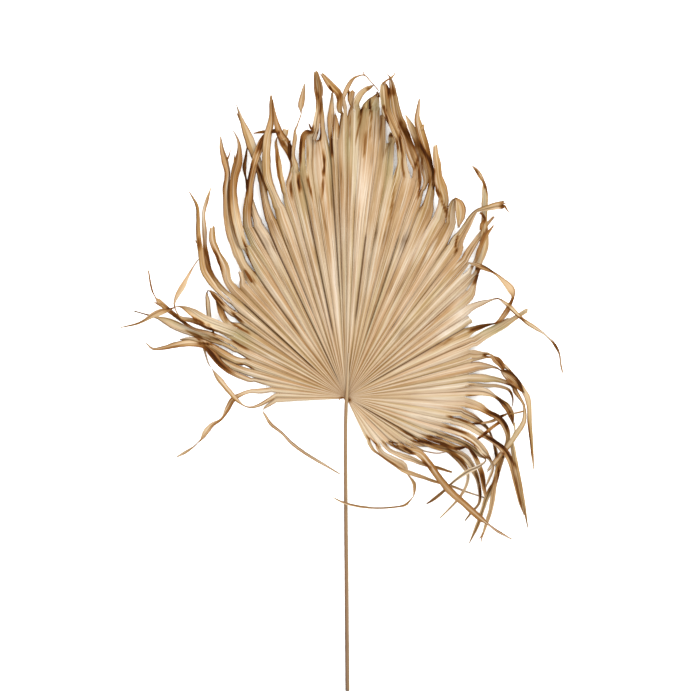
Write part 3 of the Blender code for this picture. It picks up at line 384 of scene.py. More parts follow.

# Free fingers from the left edge round to the right edge.  Each one has the bearing of its
# right-hand side, how many pleat panels wide it is, the radius where that side parts from the
# next finger, and its way beyond the rim as points (x, y, height, width, roll, brownness).
# The brownness of these points is partly painted shade: higher where a finger turns over or lies in shade
FINGERS = (
    (180.6, 2, 105, (
        (-118, -13, 5, 5, 20, 0.45), (-125, -20, 8, 4, 90, 0.55), (-120, -29, 8, 4, 160, 0.4),
        (-112, -41, 8, 5, 180, 0.65), (-96, -54, 8, 4, 180, 0.6), (-80, -70, 9, 5, 190, 0.6),
        (-58, -86, 9, 5, 200, 0.45), (-35, -100, 8, 4, 180, 0.45), (-8, -116, 6, 1.5, 180, 0.5))),
    (176.6, 2, 104, (
        (-117, -5, 10, 6, 0, 0.65), (-130, -12, 15, 5, 0, 0.5), (-142, -15, 20, 4, 40, 0.6),
        (-153, -12, 22, 5, 70, 0.5), (-166, -1, 22, 7, 20, 0.4), (-180, 15, 20, 8, 0, 0.4),
        (-190, 27, 18, 8, 0, 0.42), (-200, 42, 12, 3, 80, 0.5), (-206, 50, 9, 2.5, 150, 0.5),
        (-210, 62, 7, 2.5, 180, 0.5), (-213, 74, 5, 3, 180, 0.5), (-213, 80, 5, 1.5, 180, 0.5))),
    (172.3, 2, 112, (
        (-130, 9, 9, 8, 0, 0.3), (-144, 9, 9, 6, 20, 0.35), (-158, 4, 9, 7, 30, 0.45),
        (-169, -3, 9, 8, 10, 0.7), (-178, -18, 8, 8, 20, 0.6), (-187, -32, 8, 6, 60, 0.55),
        (-201, -41, 8, 7, 20, 0.55), (-210, -52, 9, 9, 0, 0.42), (-222, -68, 9, 5, 80, 0.6),
        (-240, -82, 8, 5, 150, 0.5), (-254, -90, 6, 1.5, 180, 0.35))),
    (168.2, 2, 140, (
        (-150, 28, 8, 8, 0, 0.5), (-170, 37, 12, 9, 20, 0.7), (-187, 50, 19, 11, 30, 0.8),
        (-198, 65, 25, 13, 30, 0.78), (-213, 77, 29, 10, 60, 0.7), (-233, 81, 30, 10, 20, 0.42),
        (-255, 78, 29, 9, 0, 0.68), (-270, 74.5, 27, 7, 20, 0.74), (-288, 72, 25, 4, 20, 0.74),
        (-299, 81, 24, 2, 10, 0.45))),
    (163.4, 2, 146, (
        (-162, 43, 5, 10, 0, 0.5), (-177, 50, 6, 10, 0, 0.3), (-190, 60, 8, 3, 20, 0.5))),
    (158.7, 2, 160, (
        (-167, 56, 8, 11, 0, 0.5), (-184, 65, 12, 12, 0, 0.5), (-200, 75, 15, 10, 0, 0.5),
        (-217, 84, 17, 8, 20, 0.35), (-233, 88, 17, 6, 30, 0.3), (-250, 86, 17, 2, 20, 0.45))),
    (156.1, 1, 176, (
        (-179, 77, 5, 6, 0, 0.4), (-195, 84, 5, 9, 0, 0.45), (-215, 92, 6, 11, 0, 0.45),
        (-232, 98, 8, 12, 10, 0.35), (-246, 103, 10, 13, 0, 0.33), (-259, 109, 11, 13, 0, 0.38),
        (-271, 114.5, 11, 10, 0, 0.4), (-283, 119, 11, 5, 30, 0.5), (-300, 124, 10, 2.5, 10, 0.85),
        (-318, 129, 8, 2.2, 0, 0.85))),
    (153.6, 1, 190, (
        (-191, 90.5, 12, 6, 0, 0.4), (-206, 96, 14, 6, 0, 0.35), (-225, 101, 16, 5, 0, 0.5),
        (-240, 110, 17, 5, 20, 0.6), (-255, 122, 17, 7, 20, 0.66), (-268, 132.5, 17, 8, 0, 0.65),
        (-281, 144, 16, 7.5, 10, 0.45), (-285, 149, 15, 2, 10, 0.6), (-291, 162, 14, 2.8, 0, 0.8),
        (-296, 190, 12, 2.4, 0, 0.6))),
    (151.6, 1, 190, (
        (-187, 98, 9, 5.5, 0, 0.45), (-205, 104, 14, 7, 0, 0.7), (-218, 110, 18, 8, 30, 0.75),
        (-231, 115, 21, 8, 20, 0.55), (-243, 117.5, 23, 7, 30, 0.45), (-250, 122, 24, 2.5, 30, 0.4),
        (-256, 134, 24, 2.2, 20, 0.35), (-256, 143, 24, 4, 20, 0.38), (-251, 155, 24, 8, 20, 0.38),
        (-244, 166, 24, 9, 10, 0.38), (-237, 180, 23, 5, 10, 0.42), (-229, 194, 22, 2.2, 0, 0.55),
        (-221, 206, 22, 1.8, 0, 0.6))),
    (147.5, 2, 192, (
        (-185, 105, 18, 13, 0, 0.25), (-201, 111, 25, 15, 0, 0.22), (-216, 118, 30, 15, 0, 0.22),
        (-229, 127, 33, 13, -20, 0.25), (-240, 133.5, 34, 9, -40, 0.3), (-250, 136, 34, 4.5, -70, 0.35),
        (-257, 134, 34, 4, -110, 0.7), (-265, 131, 34, 6, -140, 0.8), (-276, 128, 33, 10, -160, 0.5),
        (-290, 122, 31, 7.5, -180, 0.45), (-302, 114.5, 28, 4, -180, 0.5),
        (-315, 109, 25, 3.5, -180, 0.5), (-338, 104, 21, 1.5, -180, 0.45))),
    (145.0, 1, 194, (
        (-173, 109, 10, 8, 0, 0.3), (-183, 118, 12, 10, 20, 0.6), (-189, 134, 12, 10, 30, 0.75),
        (-196, 150, 11, 2, 40, 0.7))),
    (141.8, 2, 205, (
        (-178, 132, 14, 10, 0, 0.45), (-194, 150, 21, 9, 20, 0.55), (-204, 160, 25, 6, 70, 0.6),
        (-209, 155, 25, 6, 110, 0.6), (-207, 143, 20, 7, 160, 0.3), (-206, 130, 14, 7, 180, 0.25),
        (-204, 115, 9, 6, 180, 0.25), (-198, 95, 5, 2, 190, 0.3))),
    (139.9, 1, 222, (
        (-190, 157, 20, 6, 0, 0.35), (-203, 173, 23, 9, 20, 0.4), (-213, 190, 25, 10, 30, 0.45),
        (-217.5, 215, 26, 10, 30, 0.5), (-221, 250, 26, 7, 20, 0.55), (-222, 282, 26, 6, 30, 0.5),
        (-230, 300, 25, 5, 60, 0.5), (-244, 321, 23, 1.5, 90, 0.6))),
    (138.0, 1, 230, (
        (-182, 159, 12, 7, 0, 0.35), (-194, 171, 13, 9, 0, 0.45), (-204, 188, 14, 9, -20, 0.6),
        (-208, 205, 14, 9, -30, 0.6), (-211, 225, 14, 7, -20, 0.55), (-212, 250, 14, 7, 0, 0.55),
        (-213, 275, 15, 6, 20, 0.4), (-208, 295, 14, 6, 30, 0.45), (-202, 315, 12, 1.5, 60, 0.2))),
    (134.4, 2, 228, (
        (-177, 174, 17, 12, 0, 0.2), (-181, 195, 21, 15, 10, 0.35), (-190, 213, 22, 12, 30, 0.42),
        (-199, 234, 22, 11, 20, 0.42), (-200, 254, 21, 8, 0, 0.4))),
    (131.0, 2, 225, (
        (-155, 176, 16, 7, 0, 0.35), (-158, 187, 18, 7, 0, 0.35))),
    (126.0, 2, 232, (
        (-155, 200, 9, 13, 0, 0.25), (-165, 225, 9, 16, 0, 0.2), (-174, 255, 9, 15, 10, 0.3),
        (-178, 285, 10, 12, 10, 0.4), (-179, 312, 10, 9, 20, 0.5), (-177, 335, 11, 9, 30, 0.55),
        (-181, 354, 12, 11, 20, 0.5), (-186, 372, 12, 7, 10, 0.48), (-188, 391, 11, 1.5, 0, 0.3))),
    (122.2, 2, 268, (
        (-154, 228, 16, 13, 0, 0.3), (-162, 255, 21, 14, 0, 0.35), (-167, 285, 22, 14, 10, 0.45),
        (-169, 310, 22, 12, 20, 0.55), (-167, 332, 22, 13, -10, 0.5), (-162, 350, 22, 13, -10, 0.45),
        (-160, 366, 22, 9, -30, 0.5), (-161, 380, 22, 6, -50, 0.5), (-166, 393, 21, 4, -70, 0.5),
        (-172, 402, 20, 1.5, -80, 0.3))),
    (118.6, 2, 290, (
        (-148, 275, 16, 13, 0, 0.55), (-145, 300, 22, 13, -10, 0.5), (-143, 320, 25, 12, -20, 0.5),
        (-139, 340, 27, 11, -10, 0.6), (-134, 358, 27, 11, 0, 0.45), (-128, 376, 25, 11, 20, 0.65),
        (-122, 390, 19, 9, 40, 0.75), (-115, 396, 12, 8, 90, 0.9), (-104, 398, 9, 10, 150, 0.9))),
    (115.0, 2, 270, (
        (-137, 275, 11, 10, 0, 0.4), (-145, 305, 11, 8, 10, 0.5), (-150, 328, 11, 3, 20, 0.75),
        (-152, 344, 10, 6.5, 20, 0.65), (-150, 358, 9, 5, 30, 0.7), (-147.5, 378, 8, 1.5, 30, 0.6))),
    (111.4, 2, 285, (
        (-121, 294, 11, 11, 0, 0.35), (-126, 330, 15, 13, 0, 0.4), (-133, 355, 16, 13, 0, 0.35),
        (-140, 372, 17, 14, 10, 0.3), (-147, 392, 18, 13, 10, 0.4), (-157, 418, 18, 7, 40, 0.5),
        (-164, 438, 17, 1.5, 60, 0.55))),
    (107.8, 2, 300, (
        (-109, 305, 19, 12, 0, 0.25), (-117, 325, 23, 13, 0, 0.3), (-119, 345, 25, 13, 0, 0.35),
        (-119, 365, 26, 12, 0, 0.4), (-117, 388, 26, 12, 10, 0.35), (-113, 405, 25, 11, 20, 0.42),
        (-111.5, 420, 24, 8, 30, 0.5), (-112, 436, 24, 6, 20, 0.55), (-112, 453, 22, 3, 0, 0.45))),
    (106.2, 1, 318, (
        (-95, 319, 15, 8, 0, 0.2), (-99, 335, 16, 9, 10, 0.22), (-101, 352, 18, 9, 10, 0.28),
        (-103.5, 370, 20, 6, 30, 0.4), (-105, 381, 21, 6, 60, 0.5), (-102, 390, 23, 4, 110, 0.7),
        (-98, 381, 25, 3, 150, 0.45))),
    (104.6, 1, 330, (
        (-82, 337, 6, 6, 0, 0.45), (-80, 350, 6, 7, 0, 0.55), (-82.5, 360, 7, 9, 0, 0.55),
        (-86, 371, 9, 13, 0, 0.45), (-91, 381, 13, 15, 0, 0.4), (-98.5, 393, 18, 12, -10, 0.43),
        (-103.5, 407, 19, 8.5, -10, 0.45), (-107, 422, 19, 6, 0, 0.5), (-110, 445, 18, 2, 0, 0.4))),
    (101.6, 2, 345, (
        (-76, 346, 15.5, 9, 0, 0.32), (-79, 360, 17, 7, 20, 0.45), (-78, 374, 19, 7, 30, 0.4),
        (-76, 388, 19, 8, 40, 0.38), (-76, 398, 20, 6, 60, 0.4), (-72, 408, 21, 4, 60, 0.45),
        (-67, 424, 22, 5, 90, 0.5), (-67, 440, 22, 10, 180, 0.5), (-64, 458, 22, 6, 190, 0.55),
        (-62, 469, 21, 1.5, 180, 0.3))),
    (99.9, 1, 345, (
        (-66, 360, 10, 10, 0, 0.45), (-65, 382, 14, 9, 0, 0.5), (-61, 395, 21, 9, 20, 0.5),
        (-51, 398, 27, 9, 60, 0.85))),
    (96.0, 2, 388, (
        (-46.5, 398, 16, 12, 0, 0.25), (-44, 413, 17, 10, 0, 0.25), (-41.5, 430, 18, 8.5, 0, 0.3),
        (-41.5, 444, 18, 8.5, 10, 0.5), (-41, 458, 19, 13.5, 0, 0.4), (-42.5, 471, 20, 12, 0, 0.42),
        (-46, 488, 20, 6.5, 0, 0.4))),
    (93.9, 1, 379, (
        (-35, 400, 9, 8, 0, 0.3), (-36, 418, 9, 7, 0, 0.4), (-36.5, 432, 9, 5, 10, 0.5),
        (-36, 448, 9, 1.5, 20, 0.55))),
    (92.9, 1, 385, (
        (-24, 400, 8, 7, 0, 0.45), (-23, 418, 10, 11, 0, 0.5), (-22, 432, 11, 8, 0, 0.45),
        (-21, 446, 12, 5, 10, 0.45), (-20.5, 457, 12, 3, 20, 0.5))),
    (91.9, 1, 385, (
        (-15.5, 392, 7, 9, 0, 0.3), (-15, 402, 8, 10, 0, 0.5), (-15, 413, 9, 7, 0, 0.66),
        (-16.5, 425, 9, 2, 0, 0.7))),
    (90.4, 1, 425, (
        (-10, 434, 15, 9, 0, 0.65), (-9, 446, 19, 10, 10, 0.6), (-12, 455, 24, 12, 30, 0.5),
        (-20, 463, 29, 13, 20, 0.4), (-29, 474, 32, 9, 10, 0.42), (-37, 484, 33, 4, 0, 0.5))),
    (89.7, 1, 421, (
        (-2, 436, 11, 6, 0, 0.3), (-4, 447, 16, 5, 10, 0.35), (-1, 456, 19, 7, 20, 0.35),
        (4, 467, 24, 7, 30, 0.38), (11, 476.5, 28, 5, 40, 0.4), (20, 480.5, 30, 3.5, 50, 0.4),
        (28, 481.5, 30, 2.5, 30, 0.45), (35, 474, 30, 1.8, 20, 0.55), (43, 465, 30, 1.6, 20, 0.5),
        (50, 457, 30, 1.4, 20, 0.5))),
    (88.4, 1, 428, (
        (9, 436, 8, 5, 0, 0.5), (7, 445, 10, 9, -10, 0.45), (8, 459, 13, 11, 0, 0.45))),
    (87.1, 1, 431, (
        (15, 440, 14, 10, 0, 0.42), (19, 450, 16, 10, 10, 0.42), (26, 458, 17, 9, 20, 0.4),
        (34, 463, 18, 8, 30, 0.4), (42, 466, 18, 3, 40, 0.8))),
    (83.1, 2, 425, (
        (39, 437, 13, 22, 0, 0.35), (44, 446, 17, 13, 10, 0.4), (49, 456, 18, 3, 10, 0.75))),
    (81.1, 1, 385, (
        (56, 430, 9, 7, 0, 0.3), (54.5, 438, 10, 1.5, 0, 0.4))),
    (78.0, 2, 336, (
        (67.5, 388, 12, 9, 0, 0.3), (68, 397, 13, 5, 0, 0.4))),
    (73.5, 2, 341, (
        (84, 353, 12, 14, 0, 0.35), (82, 368, 19, 13, 0, 0.4), (79, 384, 24, 12, 0, 0.42),
        (73, 400, 26, 12, 0, 0.42), (66, 416, 26, 12, 0, 0.45), (60.5, 432, 27, 14, 0, 0.4),
        (59, 447, 28, 15, 0, 0.38), (58, 459, 29, 14, 0, 0.36), (56, 469, 29, 9, 0, 0.4))),
    (70.3, 2, 329, (
        (106, 341, 14, 12, 0, 0.4), (101, 356, 15, 15, 0, 0.42), (95, 373, 16, 16, 0, 0.45),
        (89, 390, 17, 16.5, 0, 0.5), (82, 407, 17, 16, 0, 0.5), (76, 423, 18, 15, 0, 0.42),
        (73, 438, 19, 13, 0, 0.36), (70.5, 453, 20, 11, 10, 0.38), (68.5, 467, 21, 9, 20, 0.45),
        (66, 479, 21, 3, 20, 0.55))),
    (68.7, 1, 305, (
        (120, 324, 10, 8, 0, 0.45), (118, 340, 12, 12, 0, 0.42), (113, 357, 14, 12, 0, 0.42),
        (108, 374, 15, 9, 0, 0.55), (104, 388, 16, 9, 0, 0.45), (98, 404, 17, 9, 0, 0.4),
        (89, 423, 17, 1.5, 20, 0.35))),
    (64.4, 2, 294, (
        (124, 293, 12, 14, 0, 0.28), (127, 308, 16, 11, 0, 0.3), (128.5, 324, 22, 10, 0, 0.5),
        (126, 343, 26, 11, 0, 0.6), (121, 362, 28, 12, 0, 0.55), (115, 382, 29, 14, 0, 0.45),
        (110, 400, 29, 13, 0, 0.45), (107, 416, 28, 9, 10, 0.45), (108, 430, 27, 6, 20, 0.45),
        (110.5, 446, 26, 4, 30, 0.45))),
    (60.4, 2, 301, (
        (144, 282, 16, 16, 0, 0.25), (146.5, 297, 24, 16, 10, 0.5), (142, 313, 31, 17, 0, 0.5),
        (138, 330, 35, 12.5, 0, 0.5), (136.5, 346, 35, 12, 0, 0.45), (134.5, 361, 34, 9.5, 0, 0.35),
        (133.5, 377, 32, 6, 0, 0.33))),
    (56.5, 2, 275, (
        (157, 270, 14, 13, 0, 0.3), (159, 286, 20, 11, 20, 0.42), (163, 297, 28, 10, 80, 0.6),
        (169, 288, 33, 15, 150, 0.62), (171, 272, 32, 15, 180, 0.62), (168, 254, 29, 2, 190, 0.65))),
    (50.6, 3, 264, (
        (166, 232, 11, 20, 0, 0.28), (174, 245, 14, 14, 0, 0.3), (182, 259, 19, 11, 10, 0.32),
        (189, 271, 24, 8, 30, 0.38), (195, 278.5, 28, 6, 60, 0.45), (203, 281, 30, 8, 60, 0.42),
        (214, 283.5, 30, 9, 30, 0.38), (226, 286.5, 29, 11, 0, 0.3), (237, 288, 28, 12, 0, 0.5))),
    (47.9, 1, 272, (
        (186, 221, 12, 11, 0, 0.33), (194, 233, 13, 9, 0, 0.35), (202, 243, 13, 9, 0, 0.4),
        (208, 254, 13, 7, 10, 0.42), (214, 262, 13, 5, 20, 0.5), (222, 271, 13, 3.5, 0, 0.6))),
    (46.5, 1, 251, (
        (192, 199, 21, 5, 10, 0.38), (200, 195.5, 29, 8, 10, 0.4), (210, 191.5, 33, 7, 20, 0.5),
        (220, 186.5, 32, 4, 30, 0.6), (225, 183, 31, 4.5, 20, 0.35), (232, 177, 30, 6, 0, 0.25),
        (241, 168, 30, 10, 0, 0.22), (247, 160, 30, 12, 0, 0.25), (250, 152, 30, 6.5, 30, 0.5),
        (248.5, 146, 29, 5, 30, 0.7), (245, 138, 28, 6, 20, 0.74), (240, 128, 27, 9, 10, 0.6),
        (230, 115, 25, 6, 0, 0.5), (221, 109, 23, 1.5, 0, 0.6))),
    (44.4, 1, 262, (
        (188.5, 195, 12.5, 4.5, 0, 0.4), (195, 206, 16, 6, 0, 0.7), (199, 219, 24, 7, 0, 0.7),
        (205, 233, 28, 6, 10, 0.6), (211, 244, 29, 5.5, 20, 0.6), (217, 252, 28, 3.5, 30, 0.55),
        (221.5, 257.5, 27, 2.5, 0, 0.65))),
    (41.7, 2, 240, (
        (197, 189.5, 10, 8, 0, 0.5), (199, 202, 9, 10, 0, 0.3), (204, 216, 12, 13, 0, 0.33),
        (207, 229, 16, 14, 0, 0.35), (208, 245, 19, 11, 0, 0.4), (207, 262, 20, 9.5, 10, 0.45),
        (207.5, 282, 19, 10, 0, 0.35), (208, 298, 21, 10, 0, 0.33), (207.5, 311, 25, 8, 10, 0.33),
        (206.5, 321, 27, 5.5, 30, 0.75), (201, 331, 27, 7, 10, 0.45), (194.5, 340, 26, 5, 0, 0.6),
        (187, 347, 25, 1.2, 0, 0.4))),
    (37.2, 2, 228, (
        (189, 161, 14, 11, 0, 0.35), (193, 172, 17, 7, 20, 0.5), (197, 182, 19, 5, 30, 0.85),
        (199, 191, 19, 2, 60, 0.9))),
    (33.7, 2, 214, (
        (191, 136, 14, 10, 0, 0.28), (201, 140, 20, 8, 0, 0.33), (211, 143, 28, 5, 20, 0.4),
        (220, 146, 34, 3, 30, 0.6), (228, 147, 37, 3.5, 50, 0.85), (235, 142, 38, 5, 30, 0.45),
        (243, 136, 39, 7, 20, 0.42), (255, 124.5, 39, 6, 0, 0.45), (263, 117, 39, 5, 0, 0.75),
        (272, 110, 38, 6.5, 0, 0.45), (284, 102.5, 36, 6, 10, 0.38), (294, 96, 35, 3.5, 10, 0.35),
        (301, 90, 33, 2.4, 10, 0.3), (309, 82, 32, 4, 20, 0.55), (315, 73, 31, 4.5, 20, 0.6),
        (319, 64, 30, 2.8, 10, 0.5), (321, 50, 27, 2.6, 0, 0.35), (322.5, 42, 26, 2.8, 0, 0.6),
        (324.5, 35, 25, 1.5, 0, 0.4))),
    (30.2, 2, 205, (
        (186.5, 117, 10, 12, 0, 0.05),)),
    (25.9, 1, 205, (
        (191, 101.5, 13, 9, 0, 0.5), (203, 105.5, 17, 7.5, 10, 0.55), (213, 108.3, 20, 5, 30, 0.6),
        (223, 110.5, 21, 3.5, 40, 0.7), (234, 114.5, 21, 3, 40, 0.75), (242, 118, 20, 1.5, 40, 0.75))),
    (21.2, 2, 196, (
        (194, 84, 10, 15, 0, 0.22), (206, 92.5, 12, 14, 0, 0.2), (220, 100, 12, 13, 0, 0.25),
        (234, 107.5, 12, 12, 10, 0.28), (246, 115, 12, 9.5, 20, 0.3), (257, 121.5, 13, 7, 10, 0.3),
        (271, 130, 14, 6.5, 0, 0.2))),
    (17.2, 2, 190, (
        (196, 64, 14, 12, 0, 0.28), (206, 64.5, 20, 7, 0, 0.3), (213, 65.5, 26, 6, 40, 0.4),
        (219, 63, 31, 11, 100, 0.75), (225, 56, 33, 13, 160, 0.8), (232, 48, 32, 10, 180, 0.85),
        (236, 41, 31, 6, 180, 0.7))),
    (15.6, 1, 190, (
        (195, 57, 11, 5, 0, 0.35), (212, 60, 13, 4, 0, 0.4), (225, 56.5, 15, 4, 0, 0.4),
        (235, 49, 17, 5, 0, 0.38), (243, 41, 18, 5, 0, 0.38), (254, 27.5, 19, 6, 0, 0.38),
        (264, 13, 20, 7, 0, 0.35), (271, 0, 21, 9, 10, 0.38), (274, -15, 22, 7, 10, 0.42),
        (275, -40, 22, 7, 10, 0.45), (277, -62, 21, 6, 20, 0.48), (279, -85, 20, 4.5, 20, 0.5),
        (281, -109, 20, 1.5, 30, 0.5))),
    (10.6, 2, 185, (
        (196, 46, 11, 14, 0, 0.3), (208, 46, 14, 10, 0, 0.3), (219, 45, 18, 5, 30, 0.4),
        (228, 42, 22, 5, 60, 0.8), (237, 36, 25, 11, 160, 0.6), (247, 29, 26, 15, 180, 0.55),
        (255, 21, 25, 12, 180, 0.65), (261, 12, 24, 6, 180, 0.75), (265, 7, 23, 2, 180, 0.85))),
    (7.0, 2, 182, (
        (200, 28.5, 11.5, 12, 0, 0.3), (213, 27.5, 13, 11, 0, 0.3), (223, 27, 13, 8, 0, 0.38),
        (233, 24, 15, 7, 20, 0.42), (242, 20.5, 17, 7, 40, 0.6), (249, 16, 19, 8, 60, 0.85),
        (254, 8, 21, 7, 10, 0.6), (261, -3, 23, 5, 20, 0.6), (265.5, -12, 24, 4.5, 30, 0.55),
        (267, -27, 23, 6, 20, 0.42), (264.5, -40, 23, 7.5, 0, 0.4), (255, -55, 22, 8, 0, 0.4),
        (245, -70, 21, 8, 0, 0.42), (235, -82, 21, 7.5, 0, 0.6), (223, -97, 20, 7, 0, 0.45),
        (212, -110, 17, 2, 0, 0.35))),
    (5.3, 1, 180, (
        (200, 18, 5.5, 5, 0, 0.35), (212, 17, 5, 5, 0, 0.38), (226, 16.5, 6, 5, 0, 0.4),
        (243, 11.5, 8, 4.5, 0, 0.4), (249, 2, 9, 4, 40, 0.5), (249.5, -12, 10, 4, 80, 0.45),
        (243, -24, 11, 4, 120, 0.42), (232, -29, 12, 4, 180, 0.42), (220, -35.5, 12, 4.5, 180, 0.45),
        (205, -39, 13, 3.5, 180, 0.45), (190, -40, 13, 3, 180, 0.85))),
    (0.2, 2, 177, (
        (198, 9, 11, 14, 0, 0.26), (211, 7, 13, 11, 0, 0.3), (222, 2, 16, 6, 20, 0.4),
        (231, -4, 20, 8, 40, 0.8), (240, -13, 22, 10, 20, 0.75), (247, -25, 22, 10, 10, 0.75),
        (250, -38, 21, 6, 60, 0.8), (253, -49, 17, 3, 90, 0.3), (249, -63, 12, 6, 120, 0.4),
        (250.5, -78, 11, 7, 180, 0.4), (255, -105, 10, 8, 180, 0.42), (262, -140, 9, 7, 190, 0.42),
        (268, -170, 8, 4.5, 180, 0.48), (273, -198, 6, 1.2, 180, 0.45))),
    (-5.0, 2, 174, (
        (198, -14, 13, 13, 0, 0.35), (214, -23, 18, 9, 30, 0.75), (228, -31, 21, 9.5, 20, 0.65),
        (237, -42, 20, 9.5, 10, 0.55), (242, -54, 17, 8, 10, 0.5), (242, -67, 15, 6, 20, 0.45),
        (235, -88, 13, 7, 20, 0.45), (228, -108, 14, 8, 10, 0.5), (223, -130, 15, 7, 10, 0.5),
        (220, -150, 15, 8, 20, 0.45), (217, -168, 15, 7, 10, 0.42), (210, -190, 14, 5.5, 0, 0.4),
        (203, -213, 12, 1.5, 0, 0.4))),
    (-10.2, 2, 160, (
        (188, -30, 8, 12, 0, 0.45), (203, -38, 8, 7, 20, 0.8), (213, -47, 8, 5.5, 40, 0.75),
        (219, -60, 8, 4.5, 50, 0.8), (224, -78, 7, 5.5, 30, 0.75), (227, -95, 7, 6, 20, 0.6),
        (227, -112, 7, 8, 10, 0.5), (222, -130, 7, 8, 10, 0.5), (212, -148, 7, 8, 0, 0.5),
        (206, -165, 7, 6, 10, 0.45), (197, -192, 6, 6, 10, 0.45), (185, -219, 5, 1.5, 10, 0.4))),
    (-14.8, 2, 147, (
        (180, -41, 14, 12, 0, 0.3), (205, -56, 24, 9, 0, 0.35), (222, -66, 29, 9.5, 30, 0.7),
        (237, -80, 31, 10.5, 10, 0.6), (246, -97, 27, 8, 10, 0.55), (253, -128, 22, 5, 20, 0.55),
        (260, -155, 18, 5, 10, 0.55), (267, -177, 15, 1.5, 10, 0.45))),
    (-19.6, 2, 145, (
        (170, -53, 14, 11, 0, 0.3), (191, -64, 21, 11.5, 0, 0.3), (207, -82, 24, 11.5, 10, 0.25),
        (216, -93, 26, 7, 50, 0.7), (220, -106, 26, 4.5, 30, 0.55), (214, -122, 26, 4, 0, 0.5),
        (209, -134, 25, 1.5, 0, 0.5))),
    (-24.2, 2, 135, (
        (158, -62, 8, 9, 0, 0.3), (180, -71, 11, 9, 0, 0.42), (199, -85, 14, 8.5, 10, 0.35),
        (208, -90, 18, 6, 60, 0.75), (208, -97, 23, 4.5, 110, 0.5), (196, -105, 26, 5, 180, 0.35),
        (185, -110, 25, 6.5, 180, 0.4), (172, -118, 23, 5.5, 180, 0.25), (158, -129, 21, 3.5, 180, 0.5),
        (146, -141, 17, 4.5, 180, 0.6), (132, -152.5, 13, 5, 180, 0.55), (124, -158, 11, 3, 180, 0.5),
        (118, -161, 10, 1.2, 180, 0.15))),
    (-28.2, 2, 124, (
        (150, -70, 15, 8, 0, 0.65), (167, -76, 20, 7, 20, 0.6), (181, -74, 22, 5.5, 90, 0.8),
        (190, -84, 22, 6, 160, 0.75), (197, -98, 21, 7, 180, 0.3), (203, -115, 20, 8, 190, 0.75),
        (207, -138, 18, 6, 180, 0.75), (209, -151, 17, 2, 180, 0.6))),
    (-32.2, 2, 117, (
        (133, -74, 10, 9, 0, 0.7), (158, -80, 11, 10.5, 0, 0.4), (178, -90, 12, 11.5, 0, 0.3),
        (189, -104, 12, 10.5, 10, 0.35), (197, -122, 11, 7, 10, 0.5), (201, -145, 10, 5.5, 20, 0.55),
        (199, -160, 10, 4.5, 20, 0.45), (188, -173, 9, 4, 10, 0.4), (177, -187, 8, 1.5, 0, 0.3))),
    (-36.2, 2, 110, (
        (110, -71, 3.5, 6, 0, 0.65), (127, -73, 4, 5, 0, 0.65), (148, -78, 5, 6, 20, 0.75),
        (163, -88, 6, 8, 10, 0.7), (177, -103, 6, 8, 10, 0.6), (183, -116, 6, 5.5, 30, 0.3),
        (181, -131, 7, 4.5, 20, 0.2), (172, -148, 8, 4, 0, 0.45), (158, -164, 8, 3, 0, 0.25),
        (141, -181, 7, 2, 0, 0.35))),
    (-39.8, 1, 102, (
        (108, -77, 11, 4, 0, 0.4), (118, -81, 13, 2, 30, 0.45), (136, -84, 15, 2, 40, 0.5),
        (150, -82, 15, 1.2, 40, 0.5))),
    (-44.6, 2, 93, (
        (92, -78.5, 16, 8.5, 0, 0.3), (110, -84.5, 24, 11, 0, 0.4), (124, -100, 27, 10.5, 10, 0.62),
        (138.5, -120, 29, 10.5, 0, 0.68), (154, -139, 30, 11, 0, 0.66), (170, -153.5, 30, 10.5, 0, 0.62),
        (185, -167, 30, 10, 0, 0.6), (200, -180, 30, 9, 0, 0.62), (211, -189, 29, 4, 30, 0.5),
        (225, -199.5, 27, 4.5, 20, 0.6), (235, -205.5, 24, 4, 20, 0.55),
        (249, -213, 22, 1.6, 20, 0.45))),
    (-48.8, 1, 88, (
        (74, -74.5, 3, 4, 0, 0.45), (84, -78.5, 3.5, 5.5, 0, 0.55), (93, -81.5, 4, 6.5, 10, 0.7),
        (104, -86, 5, 3, 20, 0.9))),
    (-53.6, 2, 84, (
        (66, -80, 9, 6, 0, 0.3), (85, -88.5, 11, 7.5, 0, 0.42), (102, -94.5, 12, 8, 0, 0.45),
        (118, -101, 12, 6, 10, 0.5), (138, -106, 10, 5, 0, 0.65), (160, -113, 10, 3, 0, 0.6))),
    (-59.6, 2, 72, (
        (54, -84, 5, 7.5, 0, 0.28), (70, -94, 6, 10.5, 0, 0.33), (85, -102, 7, 12, 10, 0.35),
        (90, -110, 7, 7, 20, 0.4), (92, -115, 7, 3, 30, 0.45), (97, -121, 7, 4, 30, 0.5),
        (103, -130, 7, 7, 30, 0.5), (103, -140, 8, 5, 30, 0.45), (101, -149, 9, 2, 30, 0.25),
        (96, -155, 9, 3, 30, 0.45), (90, -161, 9, 4.5, 20, 0.45), (80, -164, 9, 3.2, 20, 0.5),
        (50, -166.5, 10, 3.5, 20, 0.5), (20, -164, 12, 4, 20, 0.5), (-4, -158, 13, 3.5, 30, 0.4),
        (-20, -150, 11, 1.8, 30, 0.2))),
    (-65.0, 2, 66, (
        (34, -67, 6, 5.5, 0, 0.5), (41, -79, 8, 5, 20, 0.5), (50, -86, 10, 3, 20, 0.6),
        (62, -95, 11, 3, 20, 0.6), (74, -103, 12, 3.2, 20, 0.6), (86, -110, 13, 6, 20, 0.5),
        (100, -115, 14, 6.5, 0, 0.48), (118, -121, 13, 5.5, 0, 0.48), (135, -127, 11, 4.5, 10, 0.5),
        (150, -131, 8, 4, 20, 0.5), (163, -135, 6, 4.5, 20, 0.5), (180, -141.5, 3, 3.5, 30, 0.5),
        (214, -153, 2.5, 1.2, 30, 0.4))),
)
